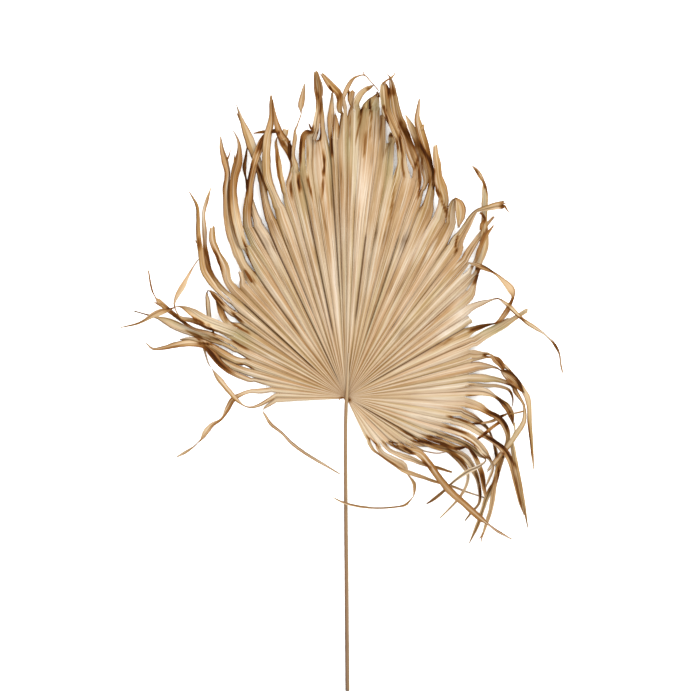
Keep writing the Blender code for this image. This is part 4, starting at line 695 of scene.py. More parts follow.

# Torn strips that hang off the fingers and dark strips of painted shade, as points (x, y, height, width,
# roll, brownness)
SHREDS_AND_SHADE_STRIPS = (
    ((-112, 397, 12, 6, 0, 0.75), (-125, 397, 14, 4.5, 0, 0.65), (-138, 395, 15, 1.5, 0, 0.65)),
    ((-156, 410, 18.5, 4, 0, 0.5), (-160, 418, 18.5, 3, 20, 0.5), (-164, 426, 18, 1.2, 0, 0.5)),
    ((-95, 385, 15, 9, 0, 0.35), (-92, 394, 14, 10, 0, 0.3), (-90, 402, 13, 8, 10, 0.3)),
    ((-84, 357, 8, 2, 0, 0.85), (-84, 371, 11, 2.5, 0, 0.85), (-83.5, 385, 13, 1.5, 0, 0.85)),
    ((-178, 356, 12, 3, 0, 0.5), (-175, 362, 12, 2, 0, 0.5), (-173, 370, 12, 1, 0, 0.5)),
    ((-167, 350, 22, 3, 0, 0.5), (-167, 356, 22, 2, 0, 0.5), (-166, 364, 21.5, 1, 0, 0.5)),
    ((-182, 295, 10, 4, 0, 0.5), (-183, 313, 10, 4, 20, 0.65), (-181, 325, 10, 3.5, 0, 0.65),
     (-179, 333, 10, 1.5, 0, 0.65)),
    ((-50, 399, 27, 4, 0, 0.85), (-53, 403, 27, 3, 0, 0.9), (-56, 410, 26, 1.2, 0, 0.9)),
    ((55, 468, 29.5, 4, 0, 0.5), (59, 472, 29.5, 3, 20, 0.5), (63, 475, 29.5, 3, 40, 0.55),
     (66, 477, 29, 2.5, 0, 0.6), (62, 483, 28, 1.2, 0, 0.5)),
    ((66, 476, 21.5, 4, 0, 0.5), (70, 480, 21.5, 3, 20, 0.5), (72, 482, 21, 2, 0, 0.5),
     (74, 487, 20.5, 1, 0, 0.5)),
    ((28, 480, 30, 3, 0, 0.5), (27, 483, 30, 2, 0, 0.5), (25, 488, 29.5, 1, 0, 0.5)),
    ((236, 287, 28, 4, 0, 0.6), (239, 283, 28.5, 3, 0, 0.55), (242, 278, 28.5, 2, 0, 0.5),
     (246, 274, 28, 1.2, 0, 0.45)),
    ((200, 276, 23, 3, 0, 0.5), (205, 272, 24.5, 4, 20, 0.85), (207.5, 265, 24.5, 5, 30, 0.8),
     (203, 258, 24, 6, 10, 0.45), (201.5, 250, 22, 3, 0, 0.6)),
    ((251, -38, 23, 3, 0, 0.4), (252, -43, 22.5, 2.5, 0, 0.15), (253, -52, 20, 1.5, 0, 0.15)),
    ((229, -38, 23, 5, 0, 0.9), (222, -43, 25, 5, 20, 0.45), (214, -49, 27, 5, 0, 0.4),
     (208, -54, 29, 5, 20, 0.85), (203, -58, 28.5, 4, 0, 0.6), (197, -62, 27, 3.5, 0, 0.9)),
    ((265, -21, 25, 2.5, 0, 0.5), (255, -23.5, 24, 2.5, 20, 0.5), (245, -25, 23.5, 2, 0, 0.5)),
    ((268.5, -168, 8.5, 3, 0, 0.5), (268, -172, 8.5, 2, 0, 0.5), (266, -177, 8, 1, 0, 0.5)),
    ((205, -203, 12.5, 3, 0, 0.5), (203, -208, 12.5, 2, 0, 0.5), (197, -214, 12, 1, 0, 0.5)),
    ((204, -205, 12, 2.5, 0, 0.5), (203, -211, 12, 1.8, 0, 0.5), (203, -219, 11.5, 1, 0, 0.5)),
    ((-276, 137, 16.5, 5, 0, 0.5), (-283, 140, 16, 3, 0, 0.5), (-289, 143, 15.5, 1, 0, 0.5)),
    ((-219, 226, 26.5, 4, 0, 0.5), (-223, 231, 26.5, 2.5, 0, 0.5), (-227, 236, 26, 1, 0, 0.5)),
    ((64, -67, 5, 1.6, 0, 0.7), (75, -69, 6, 1.8, 0, 0.75), (85, -70, 6, 1.2, 0, 0.75)),
    ((-140, 172, 14, 4, 0, 0.85), (-146, 181, 16, 4.5, 0, 0.85), (-151, 190, 16, 2, 0, 0.85)),
    ((112, 400, 30, 6, 0, 0.45), (115, 404, 30, 4, 0, 0.45), (117, 408, 30, 1.2, 0, 0.45)),
    ((30.5, 432, 17, 5, 0, 0.45), (30.5, 441, 17, 5, 0, 0.45)),
    ((35.5, 431, 16, 3, 0, 0.97), (35.5, 445, 16, 2.5, 0, 0.97)),
    ((48, 449, 19, 6, 0, 0.85), (48, 456, 18.5, 5, 0, 0.85)),
    ((-9, -1.5, 1.5, 1.6, 0, 0.3), (-10, -3.5, 2, 1.4, 0, 0.3), (-8.5, -5, 1.5, 1, 0, 0.3)),
)
STRIP_STEP = 3.0
STRIP_SLICES = 4
STRIP_SEED = 400.3

# Colours, as values from 0 to 255, and the share of the light that the palest leaf gives back
LEAF_LEVEL = 0.43
STRAW_TO_BROWN = (
    (0.0, (242, 228, 208)), (0.2, (223, 199, 168)), (0.4, (198, 163, 120)), (0.6, (160, 117, 70)),
    (0.8, (126, 78, 34)), (1.0, (68, 34, 12)),
)
WHITE = (255, 255, 255)
FREE_TINT = (255, 247, 230)
HUE_TINTS = ((0.0, (234, 232, 204)), (0.5, WHITE), (1.0, (255, 245, 238)))
PALE_LINE = (238, 222, 198)
BROWN_LINE = (112, 76, 38)
# Painted highlight along the ridges
RIDGE_HIGHLIGHT = (236, 218, 192)
# Dark brown of the valleys, partly painted shade
VALLEY_BROWN_AND_SHADE = (84, 50, 22)
LEAF_OLIVE = (170, 164, 116)
STALK_OLIVE = (158, 146, 104)
FLOOR_GREYS = ((0.0, (246, 246, 245)), (1.0, (250, 250, 249)))
# Painted shade: how much browner the underside of the leaf is painted than its top
UNDERSIDE_SHADE = 0.06

# Scales of the streaks in the materials: across, to a crease line, and along, to a millimetre
FACE_SCALE = (7.31, 0.006)
GROUP_SCALE = (0.42, 0.003, 1.0)
PATCH_SCALE = (0.6, 0.012, 1.0)
BROAD_SCALE = (1.3, 0.005, 1.0)
NARROW_SCALE = (4.1, 0.009, 1.0)
SINGLE_SCALE = (13.0, 0.02, 1.0)
HUE_SCALE = (0.9, 0.004, 1.0)
EDGE_SCALE = (0.9, 0.016, 1.0)
BROKEN_SCALE = (0.9, 0.013, 1.0)
LINE_LENGTH = 0.004
STALK_STREAK_SCALE = (1.2, 0.008, 1.0)
STALK_FINE_SCALE = (5.0, 0.02, 1.0)
BLOTCH_SCALE = 18.0
FLOOR_SCALE = 40.0

# Radii between which streaks turn from those near the hub to those near the rim
STREAKS_TURN = (40.0, 220.0)
LINES_SET_IN = (50.0, 170.0)
# Brownness between which the pale details of the leaf die out
DETAIL_FADE = (0.45, 0.75)

# Thin lines of the leaf: how many across a crease line, and their width in that noise
PALE_LINES = (2.3, 0.05)
BROWN_LINES = (1.7, 0.04)

# Slope and base of values that follow a noise or a painted value
EDGE_WIDTH = (2.6, 0.4)
VALLEY_WIDTH = (1.9, 0.35)
VALLEY_STRENGTH = (0.85, 0.12)
LEAF_ROUGHNESS = (0.2, 0.6)
STALK_ROUGHNESS = (0.2, 0.5)

# Brownness that each noise or painted value adds, with slope and base where it changes along the
# leaf, and the middle that each is taken about
FACE_TONE = (0.14, 0.2)
GROUP_TONE = 0.08
PATCH_TONE = 0.16
BROAD_TONE = (0.04, 0.08)
NARROW_TONE = (0.2, 0.06)
SINGLE_TONE = 0.15
BLOTCH_TONE = 0.09
# Painted shade that deepens from the ridges into the valleys
SHADE_TONE = 0.07
STALK_STREAK_TONE = 0.14
STALK_FINE_TONE = 0.12
# Painted highlight: how much paler the top of the stalk is painted
STALK_TOP_HIGHLIGHT = -0.08
# Brown along the edges of the fingers, partly painted shade
EDGE_TONE = 0.5
NOISE_MIDDLE = 0.5
SHADE_MIDDLE = 0.3
SHADE_POWER = 1.5

# Width of the painted highlight along a ridge, and shares of the colours laid over the leaf and the stalk
RIDGE_WIDTH = 0.8
HUE_SHARE = 0.75
BROWN_SHARE = 0.75
LEAF_OLIVE_SHARE = 0.7
STALK_OLIVE_SHARE = 0.5
LEAF_OLIVE_BASE = 0.2

# Gloss, and height of the fine relief, with the part that narrow streaks have in it
LEAF_SPECULAR = 0.02
STALK_SPECULAR = 0.4
BUMP_STRENGTH = 0.8
BUMP_DEPTH = 0.2
NARROW_RELIEF = 0.8
FLOOR_BUMP_DEPTH = 0.05
FLOOR_ROUGHNESS = 0.9

# Half the width of the floor in metres, and how far it lies under the part in millimetres
FLOOR_REACH = 30.0
FLOOR_DROP = 0.2

# Places of the colour sockets on a mix node
MIX_FIRST, MIX_SECOND, MIX_RESULT = 6, 7, 2


def between(table, where):
    """Straight-line reading of a table of (place, value) rows sorted by place."""
    if where <= table[0][0]:
        return table[0][1]
    for (x0, y0), (x1, y1) in zip(table, table[1:]):
        if where <= x1:
            return y0 + (y1 - y0) * (where - x0) / (x1 - x0)
    return table[-1][1]


def clamp(value):
    return min(1.0, max(0.0, value))


def wobble(x, y, z=0.5):
    """Smooth value between about -1 and 1 that depends on the place alone."""
    return noise.noise(Vector((x, y, z)))


def ripple(kind, number, place):
    """One of the leaf's noises, for a crease line or finger, at a place along it."""
    step, wave, layer = kind
    return wobble(number * step, place / wave, layer)


def dome(radius, bearing):
    """Height of the leaf's middle surface, without its creases."""
    rim = between(RIM, bearing)
    out = max(0.0, radius - FLAT_RADIUS) / (rim - FLAT_RADIUS)
    rise = DOME_RISE * rim * math.sin(math.pi * min(out, 1.0))
    rim_height = crease_height(rim) + between(RIM_LIFT, bearing)
    return LEAF_THICKNESS / 2 + rise + rim_height * min(out, OVER_RIM) ** 2


def crease_height(radius):
    """Half the height between a ridge and the valley next to it."""
    return min(CREASE_SLOPE * max(0.0, radius - FLAT_RADIUS), CREASE_LIMIT)


def left_flare(radius):
    """Degrees by which the leaf's left side runs past its bearing at the rim, close to the hub."""
    share = clamp((LEFT_FLARE_RADIUS - radius) / (LEFT_FLARE_RADIUS - HUB_RADIUS))
    return math.degrees(LEFT_FLARE * share / radius)


def polar(radius, bearing, height):
    turn = math.radians(bearing)
    return Vector((radius * math.cos(turn), radius * math.sin(turn), height))


def curve_through(points):
    """Smooth curve through the points, as rows (distance, point); points hold any number of values."""
    ends = [2 * points[0] - points[1]] + points + [2 * points[-1] - points[-2]]
    rows = []
    distance = 0.0
    last = None
    for before, start, end, after in zip(ends, ends[1:], ends[2:], ends[3:]):
        for step in range(CURVE_SAMPLES):
            t = step / CURVE_SAMPLES
            here = 0.5 * (2 * start + (end - before) * t
                          + (2 * before - 5 * start + 4 * end - after) * t ** 2
                          + (3 * start - before - 3 * end + after) * t ** 3)
            if last is not None:
                distance += (here.xyz - last.xyz).length
            rows.append((distance, here))
            last = here
    distance += (points[-1].xyz - last.xyz).length
    rows.append((distance, points[-1]))
    return rows


def is_ridge(line):
    return line % 2 == 1


def line_wander(line, radius):
    """How far a crease line strays sideways, as a share of a panel."""
    step, wave, layer = WANDER_NOISE
    steady = wobble(line * step, STEADY_PLACE, layer)
    slow = wobble(line * step, radius / wave + SLOW_PLACE, layer)
    return LINE_WANDER * (STEADY_WANDER * steady + slow) * clamp((radius - HUB_RADIUS) / WANDER_ONSET)


def line_height(line, radius, seam):
    """Height of a crease line over the leaf's middle surface."""
    height = crease_height(radius) * (1.0 + CREASE_SPREAD * ripple(SPREAD_NOISE, line, radius))
    return height if is_ridge(line) else -height - seam * SEAM_DEPTH * clamp(radius / SEAM_ONSET)


def line_below(line):
    """Crease line at or before a fractional one."""
    return math.floor(line + ON_LINE)


def along_panel(reading, line):
    """Value at a fractional crease line, straight between the two lines beside it."""
    low = line_below(line)
    share = line - low
    if share < ON_LINE:
        return reading(low)
    return reading(low) * (1.0 - share) + reading(low + 1) * share


class Seams:
    """How dark each valley line is at a radius."""

    def __init__(self, lines):
        draw = random.Random(SEED)
        self.plain = {line: draw.uniform(*PLAIN_SEAM) for line in lines}
        self.last = max(lines)
        self.dark = {}
        valleys = [line for line in lines if not is_ridge(line)]
        for bearing, inner, outer, strength in SEAMS:
            nearest = min(valleys, key=lambda line: abs(lines[line] - bearing))
            self.dark.setdefault(nearest, []).append((inner, outer, strength))

    def at(self, line, radius):
        if is_ridge(line):
            return 0.0
        swing = SEAM_STEADY + SEAM_SWING * ripple(SEAM_NOISE, line, radius)
        value = self.plain[line] * swing * clamp(radius / PLAIN_SEAM_ONSET)
        for inner, outer, strength in self.dark.get(line, ()):
            start = clamp((radius - inner) / SEAM_START[0] + SEAM_START[1])
            end = clamp((outer - radius) / SEAM_END[0] + SEAM_END[1])
            value = max(value, strength * (start * end))
        return value


class Ribbon:
    """A strip of leaf along a smooth curve of (x, y, height, width, roll, brownness) points."""

    def __init__(self, points, seed):
        self.rows = curve_through(points)
        self.length = self.rows[-1][0]
        self.seed = seed

    def section(self, distance):
        """Centre, direction, width, roll and brownness at a distance along the curve."""
        place = 0
        while place < len(self.rows) - 2 and self.rows[place + 1][0] < distance:
            place += 1
        (d0, low), (d1, high) = self.rows[place], self.rows[place + 1]
        here = low.lerp(high, (distance - d0) / (d1 - d0))
        back = self.rows[max(0, place - 1)][1]
        ahead = self.rows[min(len(self.rows) - 1, place + 2)][1]
        direction = (ahead - back).xyz.normalized()
        return here.xyz, direction, max(here[3], TIP_WIDTH), here[4], here[5]

    def across(self, distance, loose):
        """Function from (share of the width, extra rise) to leaf point, and the width and brownness."""
        centre, ahead, width, roll, tone = self.section(distance)
        roll += FREE_ROLL * loose * ripple(ROLL_NOISE, self.seed, distance)
        curl = width * FREE_CURL * loose * ripple(CURL_NOISE, self.seed, distance)
        frayed = [1.0 + FREE_FRAY * loose * ripple(FRAY_NOISE, self.seed + FRAY_SEED_STEP * edge, distance)
                  for edge in (0, 1)]
        side = Vector((-ahead.y, ahead.x, 0)).normalized()
        up = ahead.cross(side)
        turn = Matrix.Rotation(math.radians(roll), 3, ahead)
        torn = TORN_END * clamp(1.0 - (self.length - distance) / TORN_END) * loose

        def point(share, rise=0.0):
            out = (0.5 - share) * width * (frayed[0] if share < 0.5 else frayed[1])
            rise += curl * (1.0 - (2.0 * share - 1.0) ** 2)
            cut = torn * wobble(self.seed + share * width * TORN_STEP, TORN_PLACE)
            return centre + ahead * cut + turn @ (side * out + up * rise)

        return point, width, tone


class Finger(Ribbon):
    """One piece of the fan between two splits, with its free end."""

    def __init__(self, left, right, panels, first_line, splits, way):
        self.left = left
        self.right = right
        self.panels = panels
        self.first_line = first_line
        self.splits = splits
        self.start = max(splits)
        middle = (left + right) / 2
        root = polar(self.start, middle, dome(self.start, middle))
        span = self.edge_bearing(self.start, 0) - self.edge_bearing(self.start, 1)
        root_width = self.start * math.radians(span)
        root_tone = between(FAN_TONE, self.start)
        points = [Vector((*root, root_width, 0, root_tone)), *(Vector(spot) for spot in way)]
        self.root_tone = root_tone
        self.paler = between(FREE_TONE, middle)
        super().__init__(points, first_line * FINGER_SEED_STEP)

    def edge_bearing(self, radius, side):
        """Bearing of the left (0) or right (1) side, drawn in a little once it has split."""
        opening = SPLIT_OPENING * max(0.0, radius - self.splits[side])
        inward = math.degrees(opening / radius)
        if self.first_line == 0 and side == 0:
            inward -= left_flare(radius)
        return self.right + inward if side else self.left - inward

    def settle(self, line, radius):
        """Share of the unevenness that a line keeps: none at the fan's two sides and at its own split."""
        last_line = self.first_line + self.panels
        if line == 0 or self.right == FINGERS[-1][0] and line == last_line:
            return 0.0
        split = self.start
        if line == self.first_line:
            split = self.splits[0]
        elif line == last_line:
            split = self.splits[1]
        return clamp((split - radius) / SETTLE_SPAN)

    def fan_point(self, radius, column, seams):
        """Leaf point in the joined part of the fan."""
        line = self.first_line + column
        left = self.edge_bearing(radius, 0)
        panel = (left - self.edge_bearing(radius, 1)) / self.panels
        panel_width = radius * math.radians(panel)
        shift = along_panel(lambda at: line_wander(at, radius) * self.settle(at, radius), line)
        bearing = left - panel * (column + shift)
        lift = along_panel(lambda at: line_height(at, radius, seams.at(at, radius)), line)
        share = line - line_below(line)
        bulge = panel_width * PANEL_BULGE * 4.0 * share * (1.0 - share)
        bulge *= ripple(BULGE_NOISE, line_below(line), radius) + BULGE_BIAS
        if share > ON_LINE:
            bulge += panel_width * FINE_FOLD * ripple(FAN_FOLD_NOISE, line, radius)
        place = polar(radius, bearing, 0.0)
        swell = SWELL * wobble(place.x / SWELL_SPAN, place.y / SWELL_SPAN)
        swell *= clamp((radius - SWELL_START) / SWELL_ONSET)
        place.z = dome(radius, bearing) + lift + bulge + swell * self.settle(line, radius)
        return place

    def free_row(self, distance):
        """Function from column to leaf point, the width and the brownness, at a distance past the rim."""
        loose = clamp(distance / LOOSE_SPAN)
        place, width, tone = self.across(distance, loose)
        tone = self.root_tone + (tone + self.paler - self.root_tone) * clamp(distance / FREE_BLEND)
        swing = 1.0 + CREASE_SWING * loose * ripple(CREASE_NOISE, self.seed, distance)
        fold = width * FREE_CREASE * swing

        def point(column):
            line = self.first_line + column
            rise = width * FINE_FOLD * loose * ripple(FREE_FOLD_NOISE, line, distance)
            if self.panels > 1:
                rise += fold * along_panel(lambda at: 1.0 if is_ridge(at) else -1.0, line)
            return place(column / self.panels, rise)

        return point, width, tone


def all_fingers():
    fingers = []
    left, left_split, line = LEFT_EDGE, LEFT_EDGE_RADIUS, 0
    for right, panels, split, way in FINGERS:
        fingers.append(Finger(left, right, panels, line, (left_split, split), way))
        left, left_split, line = right, split, line + panels
    return fingers


def line_bearings(fingers):
    """Bearing of every crease line where the leaf is joined."""
    lines = {}
    for finger in fingers:
        for column in range(finger.panels + 1):
            share = column / finger.panels
            lines[finger.first_line + column] = finger.left + (finger.right - finger.left) * share
    return lines


def fan_radii(limit):
    """Radii of the rows of the joined leaf, closer together near the hub."""
    least, growth, most = FAN_STEP
    radii = [HUB_RADIUS]
    while radii[-1] < limit:
        radii.append(radii[-1] + min(most, least + growth * radii[-1]))
    return radii


def off_stroke(place, start, end):
    """Distance in plan from a straight stroke."""
    along = Vector(end) - Vector(start)
    share = clamp((place.xy - Vector(start)).dot(along) / along.length_squared)
    return (place.xy - Vector(start) - along * share).length


def near_shadows_and_stains(place):
    """Brownness and share of each stain and painted shadow that reaches a place."""
    for brownness, half_width, *points in SHADOWS_AND_STAINS:
        reach = half_width + SHADOW_AND_STAIN_FADE
        if not (min(x for x, y in points) - reach < place.x < max(x for x, y in points) + reach):
            continue
        off = min(off_stroke(place, one, other) for one, other in zip(points, points[1:]))
        if off < reach:
            taper = (Vector(points[0]) - Vector(points[-1])).length * SHADOW_AND_STAIN_TAPER
            inside = min((place.xy - Vector(end)).length for end in (points[0], points[-1]))
            yield brownness, clamp((reach - off) / SHADOW_AND_STAIN_FADE) * clamp(SHADOW_AND_STAIN_END + inside / taper)


def in_ovals(place, ovals):
    """Value of each oval (x, y, half width, half height, value) and its share at a place."""
    for x, y, across, along, value in ovals:
        off = ((place.x - x) / across) ** 2 + ((place.y - y) / along) ** 2
        if off < MARK_REACH:
            yield value, math.exp(-off)


def mark_tone(tone, place):
    """Brownness with the nearest marks, stains and painted shadows laid over it."""
    for brownness, share in (*in_ovals(place, MARKS), *near_shadows_and_stains(place)):
        tone += (brownness - tone) * share
    return tone


def green_at(place):
    return max((strength * share for strength, share in in_ovals(place, GREEN_PATCHES)), default=0.0)


class Sheet:
    """Vertices with their paint values, and faces, of one mesh in the making."""

    PAINT = ("tone", "ridge", "off_valley", "off_ridge", "seam", "off_edge", "green", "free")

    def __init__(self):
        self.places = []
        self.faces = []
        self.fibres = []
        self.paint = {name: [] for name in self.PAINT}
        self.folds = set()

    def add(self, place, fibre, **paint):
        self.places.append(place * MM)
        self.fibres.append(fibre)
        for name in self.PAINT:
            self.paint[name].append(paint.get(name, 0.0))
        return len(self.places) - 1

    def grid(self, rows, closed=False, fold_every=0):
        """Faces between rows of vertex numbers, with a crisp fold along every so many columns."""
        for low, high in zip(rows, rows[1:]):
            count = len(low) if closed else len(low) - 1
            for step in range(0, len(low), fold_every or len(low) + 1):
                self.folds.add((min(low[step], high[step]), max(low[step], high[step])))
            for step in range(count):
                after = (step + 1) % len(low)
                self.faces.append((low[step], high[step], high[after], low[after]))

    def to_object(self, name, *materials):
        data = bpy.data.meshes.new(name)
        data.from_pydata(self.places, [], self.faces)
        fibres = data.attributes.new("fibre", "FLOAT_VECTOR", "POINT")
        fibres.data.foreach_set("vector", [value for fibre in self.fibres for value in fibre])
        for paint, values in self.paint.items():
            data.attributes.new(paint, "FLOAT", "POINT").data.foreach_set("value", values)
        for material in materials:
            data.materials.append(material)
        made = bpy.data.objects.new(name, data)
        bpy.context.scene.collection.objects.link(made)
        data.shade_smooth()
        for edge in data.edges:
            edge.use_edge_sharp = tuple(sorted(edge.vertices)) in self.folds
        return made


def ridge_share(line):
    """1 on a ridge, 0 in a valley."""
    return along_panel(lambda at: 1.0 if is_ridge(at) else 0.0, line)


def valley_seam(seams, line, radius):
    """How dark the nearest valley is; on a ridge, the middle of both."""
    low = line_below(line)
    if line - low > ON_LINE:
        return seams.at(low if not is_ridge(low) else low + 1, radius)
    if is_ridge(low):
        return (seams.at(max(low - 1, 0), radius) + seams.at(min(low + 1, seams.last), radius)) / 2
    return seams.at(low, radius)


def leaf_paint(line, panel, place, tone):
    """Paint values that the joined leaf and its free fingers share."""
    ridge = ridge_share(line)
    return {
        "tone": mark_tone(tone, place), "green": green_at(place),
        "ridge": ridge, "off_valley": ridge * panel, "off_ridge": (1.0 - ridge) * panel,
    }


def bearing_of(place):
    """Bearing of a place, from -90 to 270 degrees."""
    return (math.degrees(math.atan2(place.y, place.x)) + 90.0) % 360.0 - 90.0


def fan_vertex(sheet, finger, radius, column, seams):
    line = finger.first_line + column
    place = finger.fan_point(radius, column, seams)
    tone = between(FAN_TONE, radius) + between(SIDE_TONE, bearing_of(place))
    left, right = finger.edge_bearing(radius, 0), finger.edge_bearing(radius, 1)
    panel = radius * math.radians(left - right) / finger.panels
    off_edges = [panel * across + FAR_FROM_EDGE * (1.0 - clamp((radius - split) / SPLIT_FADE))
                 for across, split in zip((column, finger.panels - column), finger.splits)]
    return sheet.add(
        place, (line, radius, 0.0), seam=valley_seam(seams, line, radius), off_edge=min(off_edges),
        **leaf_paint(line, panel, place, tone))


def fan_rows(sheet, finger, radii, seams, shared):
    """Rows of vertices of one finger in the joined leaf; its sides are shared up to their splits."""
    columns = [step / STRIPS for step in range(finger.panels * STRIPS + 1)]
    inner = [radius for radius in radii if radius < finger.start - SPLIT_ROW_GAP]
    rows = []
    for radius in inner + [finger.start]:
        row = []
        for column in columns:
            side = 0 if column == 0 else 1 if column == finger.panels else None
            joined = side is not None and radius <= finger.splits[side] and radius in inner
            key = (finger.first_line + column, radius)
            if joined and key in shared:
                row.append(shared[key])
                continue
            row.append(fan_vertex(sheet, finger, radius, column, seams))
            if joined:
                shared[key] = row[-1]
        rows.append(row)
    return rows


def free_rows(sheet, finger, seams):
    """Rows of vertices of one finger past the rim."""
    columns = [step / STRIPS for step in range(finger.panels * STRIPS + 1)]
    count = math.ceil(finger.length / FREE_STEP)
    rows = []
    for step in range(1, count + 1):
        distance = finger.length * step / count
        point, width, tone = finger.free_row(distance)
        panel = width / finger.panels
        row = []
        for column in columns:
            line = finger.first_line + column
            place = point(column)
            row.append(sheet.add(
                place, (line, finger.start + distance, 0.0), seam=valley_seam(seams, line, finger.start),
                off_edge=panel * min(column, finger.panels - column), free=clamp(distance / FREE_BLEND),
                **leaf_paint(line, panel, place, tone)))
        rows.append(row)
    return rows


def strip_rows(sheet, number, way):
    """Rows of vertices of one torn strip or dark strip of painted shade."""
    ribbon = Ribbon([Vector(spot) for spot in way], STRIP_SEED + number)
    count = math.ceil(ribbon.length / STRIP_STEP)
    rows = []
    for step in range(count + 1):
        distance = ribbon.length * step / count
        point, width, tone = ribbon.across(distance, 1.0)
        row = []
        for column in range(STRIP_SLICES + 1):
            share = column / STRIP_SLICES
            place = point(share)
            row.append(sheet.add(
                place, (STRIP_SEED + number + share, distance, 0.0), tone=tone, ridge=1.0,
                off_valley=width, off_ridge=width, free=1.0, off_edge=width * min(share, 1.0 - share),
                green=green_at(place)))
        rows.append(row)
    return rows


def close_hub(sheet, first_rows):
    """Round centre that all pleats run into, and its lip where the fan is open."""
    ring = []
    for row in first_rows:
        ring += [number for number in row if number not in ring[-1:]]
    level = LEAF_THICKNESS / 2
    start, end = FINGERS[-1][0], LEFT_EDGE + left_flare(HUB_RADIUS) - 360.0
    for step in range(1, HUB_LIP_SIDES):
        bearing = start + (end - start) * step / HUB_LIP_SIDES
        ring.append(sheet.add(polar(HUB_LIP_RADIUS, bearing, level), (0.0, 0.0, 0.0), **HUB_PAINT))
    centre = sheet.add(Vector((0.0, 0.0, level)), (0.0, 0.0, 0.0), **HUB_PAINT)
    for one, other in zip(ring, ring[1:] + ring[:1]):
        sheet.faces.append((one, other, centre))


def build_leaf():
    sheet = Sheet()
    fingers = all_fingers()
    seams = Seams(line_bearings(fingers))
    radii = fan_radii(max(finger.start for finger in fingers))
    shared = {}
    first_rows = []
    for finger in fingers:
        rows = fan_rows(sheet, finger, radii, seams, shared)
        first_rows.append(rows[0])
        sheet.grid(rows + free_rows(sheet, finger, seams), fold_every=STRIPS // 2)
    for number, way in enumerate(SHREDS_AND_SHADE_STRIPS):
        sheet.grid(strip_rows(sheet, number, way))
    close_hub(sheet, first_rows)
    # The underside material is a copy of the top one painted darker as shade
    leaf = sheet.to_object(
        "leaf", leaf_material("leaf_upper", 0.0), leaf_material("leaf_lower", UNDERSIDE_SHADE))
    shell = leaf.modifiers.new("leaf thickness", "SOLIDIFY")
    shell.thickness = FINE_THICKNESS * MM
    shell.offset = 0
    shell.material_offset = 1
    shell.material_offset_rim = 1
    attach(leaf, "root")
    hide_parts("blade")


def stalk_at(where):
    """Centre across X, width and height of the stalk at a place along Y."""
    return [between([(row[0], row[column]) for row in STALK], where) for column in (1, 2, 3)]


def stalk_height(place, height):
    """Height of the stalk's centre: on the surface at the cut end, then just over the leaf."""
    over_leaf = dome(max(place, 0.0), STALK_BEARING) + crease_height(max(place, 0.0)) + LEAF_THICKNESS / 2
    blend = clamp((place - STALK[0][0]) / -STALK[0][0])
    return height / 2 + (over_leaf + STALK_GAP) * blend


def stalk_tone(where, sideways):
    """Brownness of the stalk: darker on the left with painted shade, darker towards the cut end, pale
    where it is a rib.
    """
    return between(STALK_TONE, where) - STALK_LEFT_SHADE * sideways


def stalk_ring(sheet, where):
    """Vertices of one cross-section of the stalk: rounded below, with a low keel on top."""
    across, width, height = stalk_at(where)
    centre = Vector((across, where, stalk_height(where, height)))
    ring = []
    for side in range(STALK_SIDES):
        turn = math.tau * side / STALK_SIDES
        rise, sideways, off_top = math.sin(turn), math.cos(turn), abs(turn - math.pi / 2)
        waves = STALK_GROOVES * turn / math.tau * 2
        groove = 1.0 + STALK_GROOVE_DEPTH * wobble(waves, where / STALK_GROOVE_SPAN)
        keel = 1.0 - STALK_KEEL + STALK_KEEL * clamp(1.0 - off_top * STALK_KEEL_SLOPE)
        top = keel if rise > 0 else 1.0
        spot = Vector((width / 2 * sideways, 0, height / 2 * top * rise)) * groove
        ring.append(sheet.add(
            centre + spot, (turn * STALK_FIBRE_STEP, where, 0.0), tone=stalk_tone(where, sideways),
            ridge=clamp(1.0 - off_top), off_edge=FAR_FROM_EDGE, green=STALK_GREEN * (1.0 + sideways)))
    return ring


def build_stalk():
    sheet = Sheet()
    start, end = STALK[0][0], STALK[-1][0]
    count = math.ceil((end - start) / STALK_STEP)
    rows = [stalk_ring(sheet, start + (end - start) * step / count) for step in range(count + 1)]
    sheet.grid(rows, closed=True)
    sheet.faces.append(tuple(rows[0]))
    sheet.faces.append(tuple(reversed(rows[-1])))
    stalk = sheet.to_object("stalk", stalk_material())
    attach(stalk, "root")
    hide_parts("petiole")


def srgb(red, green, blue, level=1.0):
    """Linear colour of three values from 0 to 255."""
    return (*(level * ((value / 255 + 0.055) / 1.055) ** 2.4 for value in (red, green, blue)), 1.0)


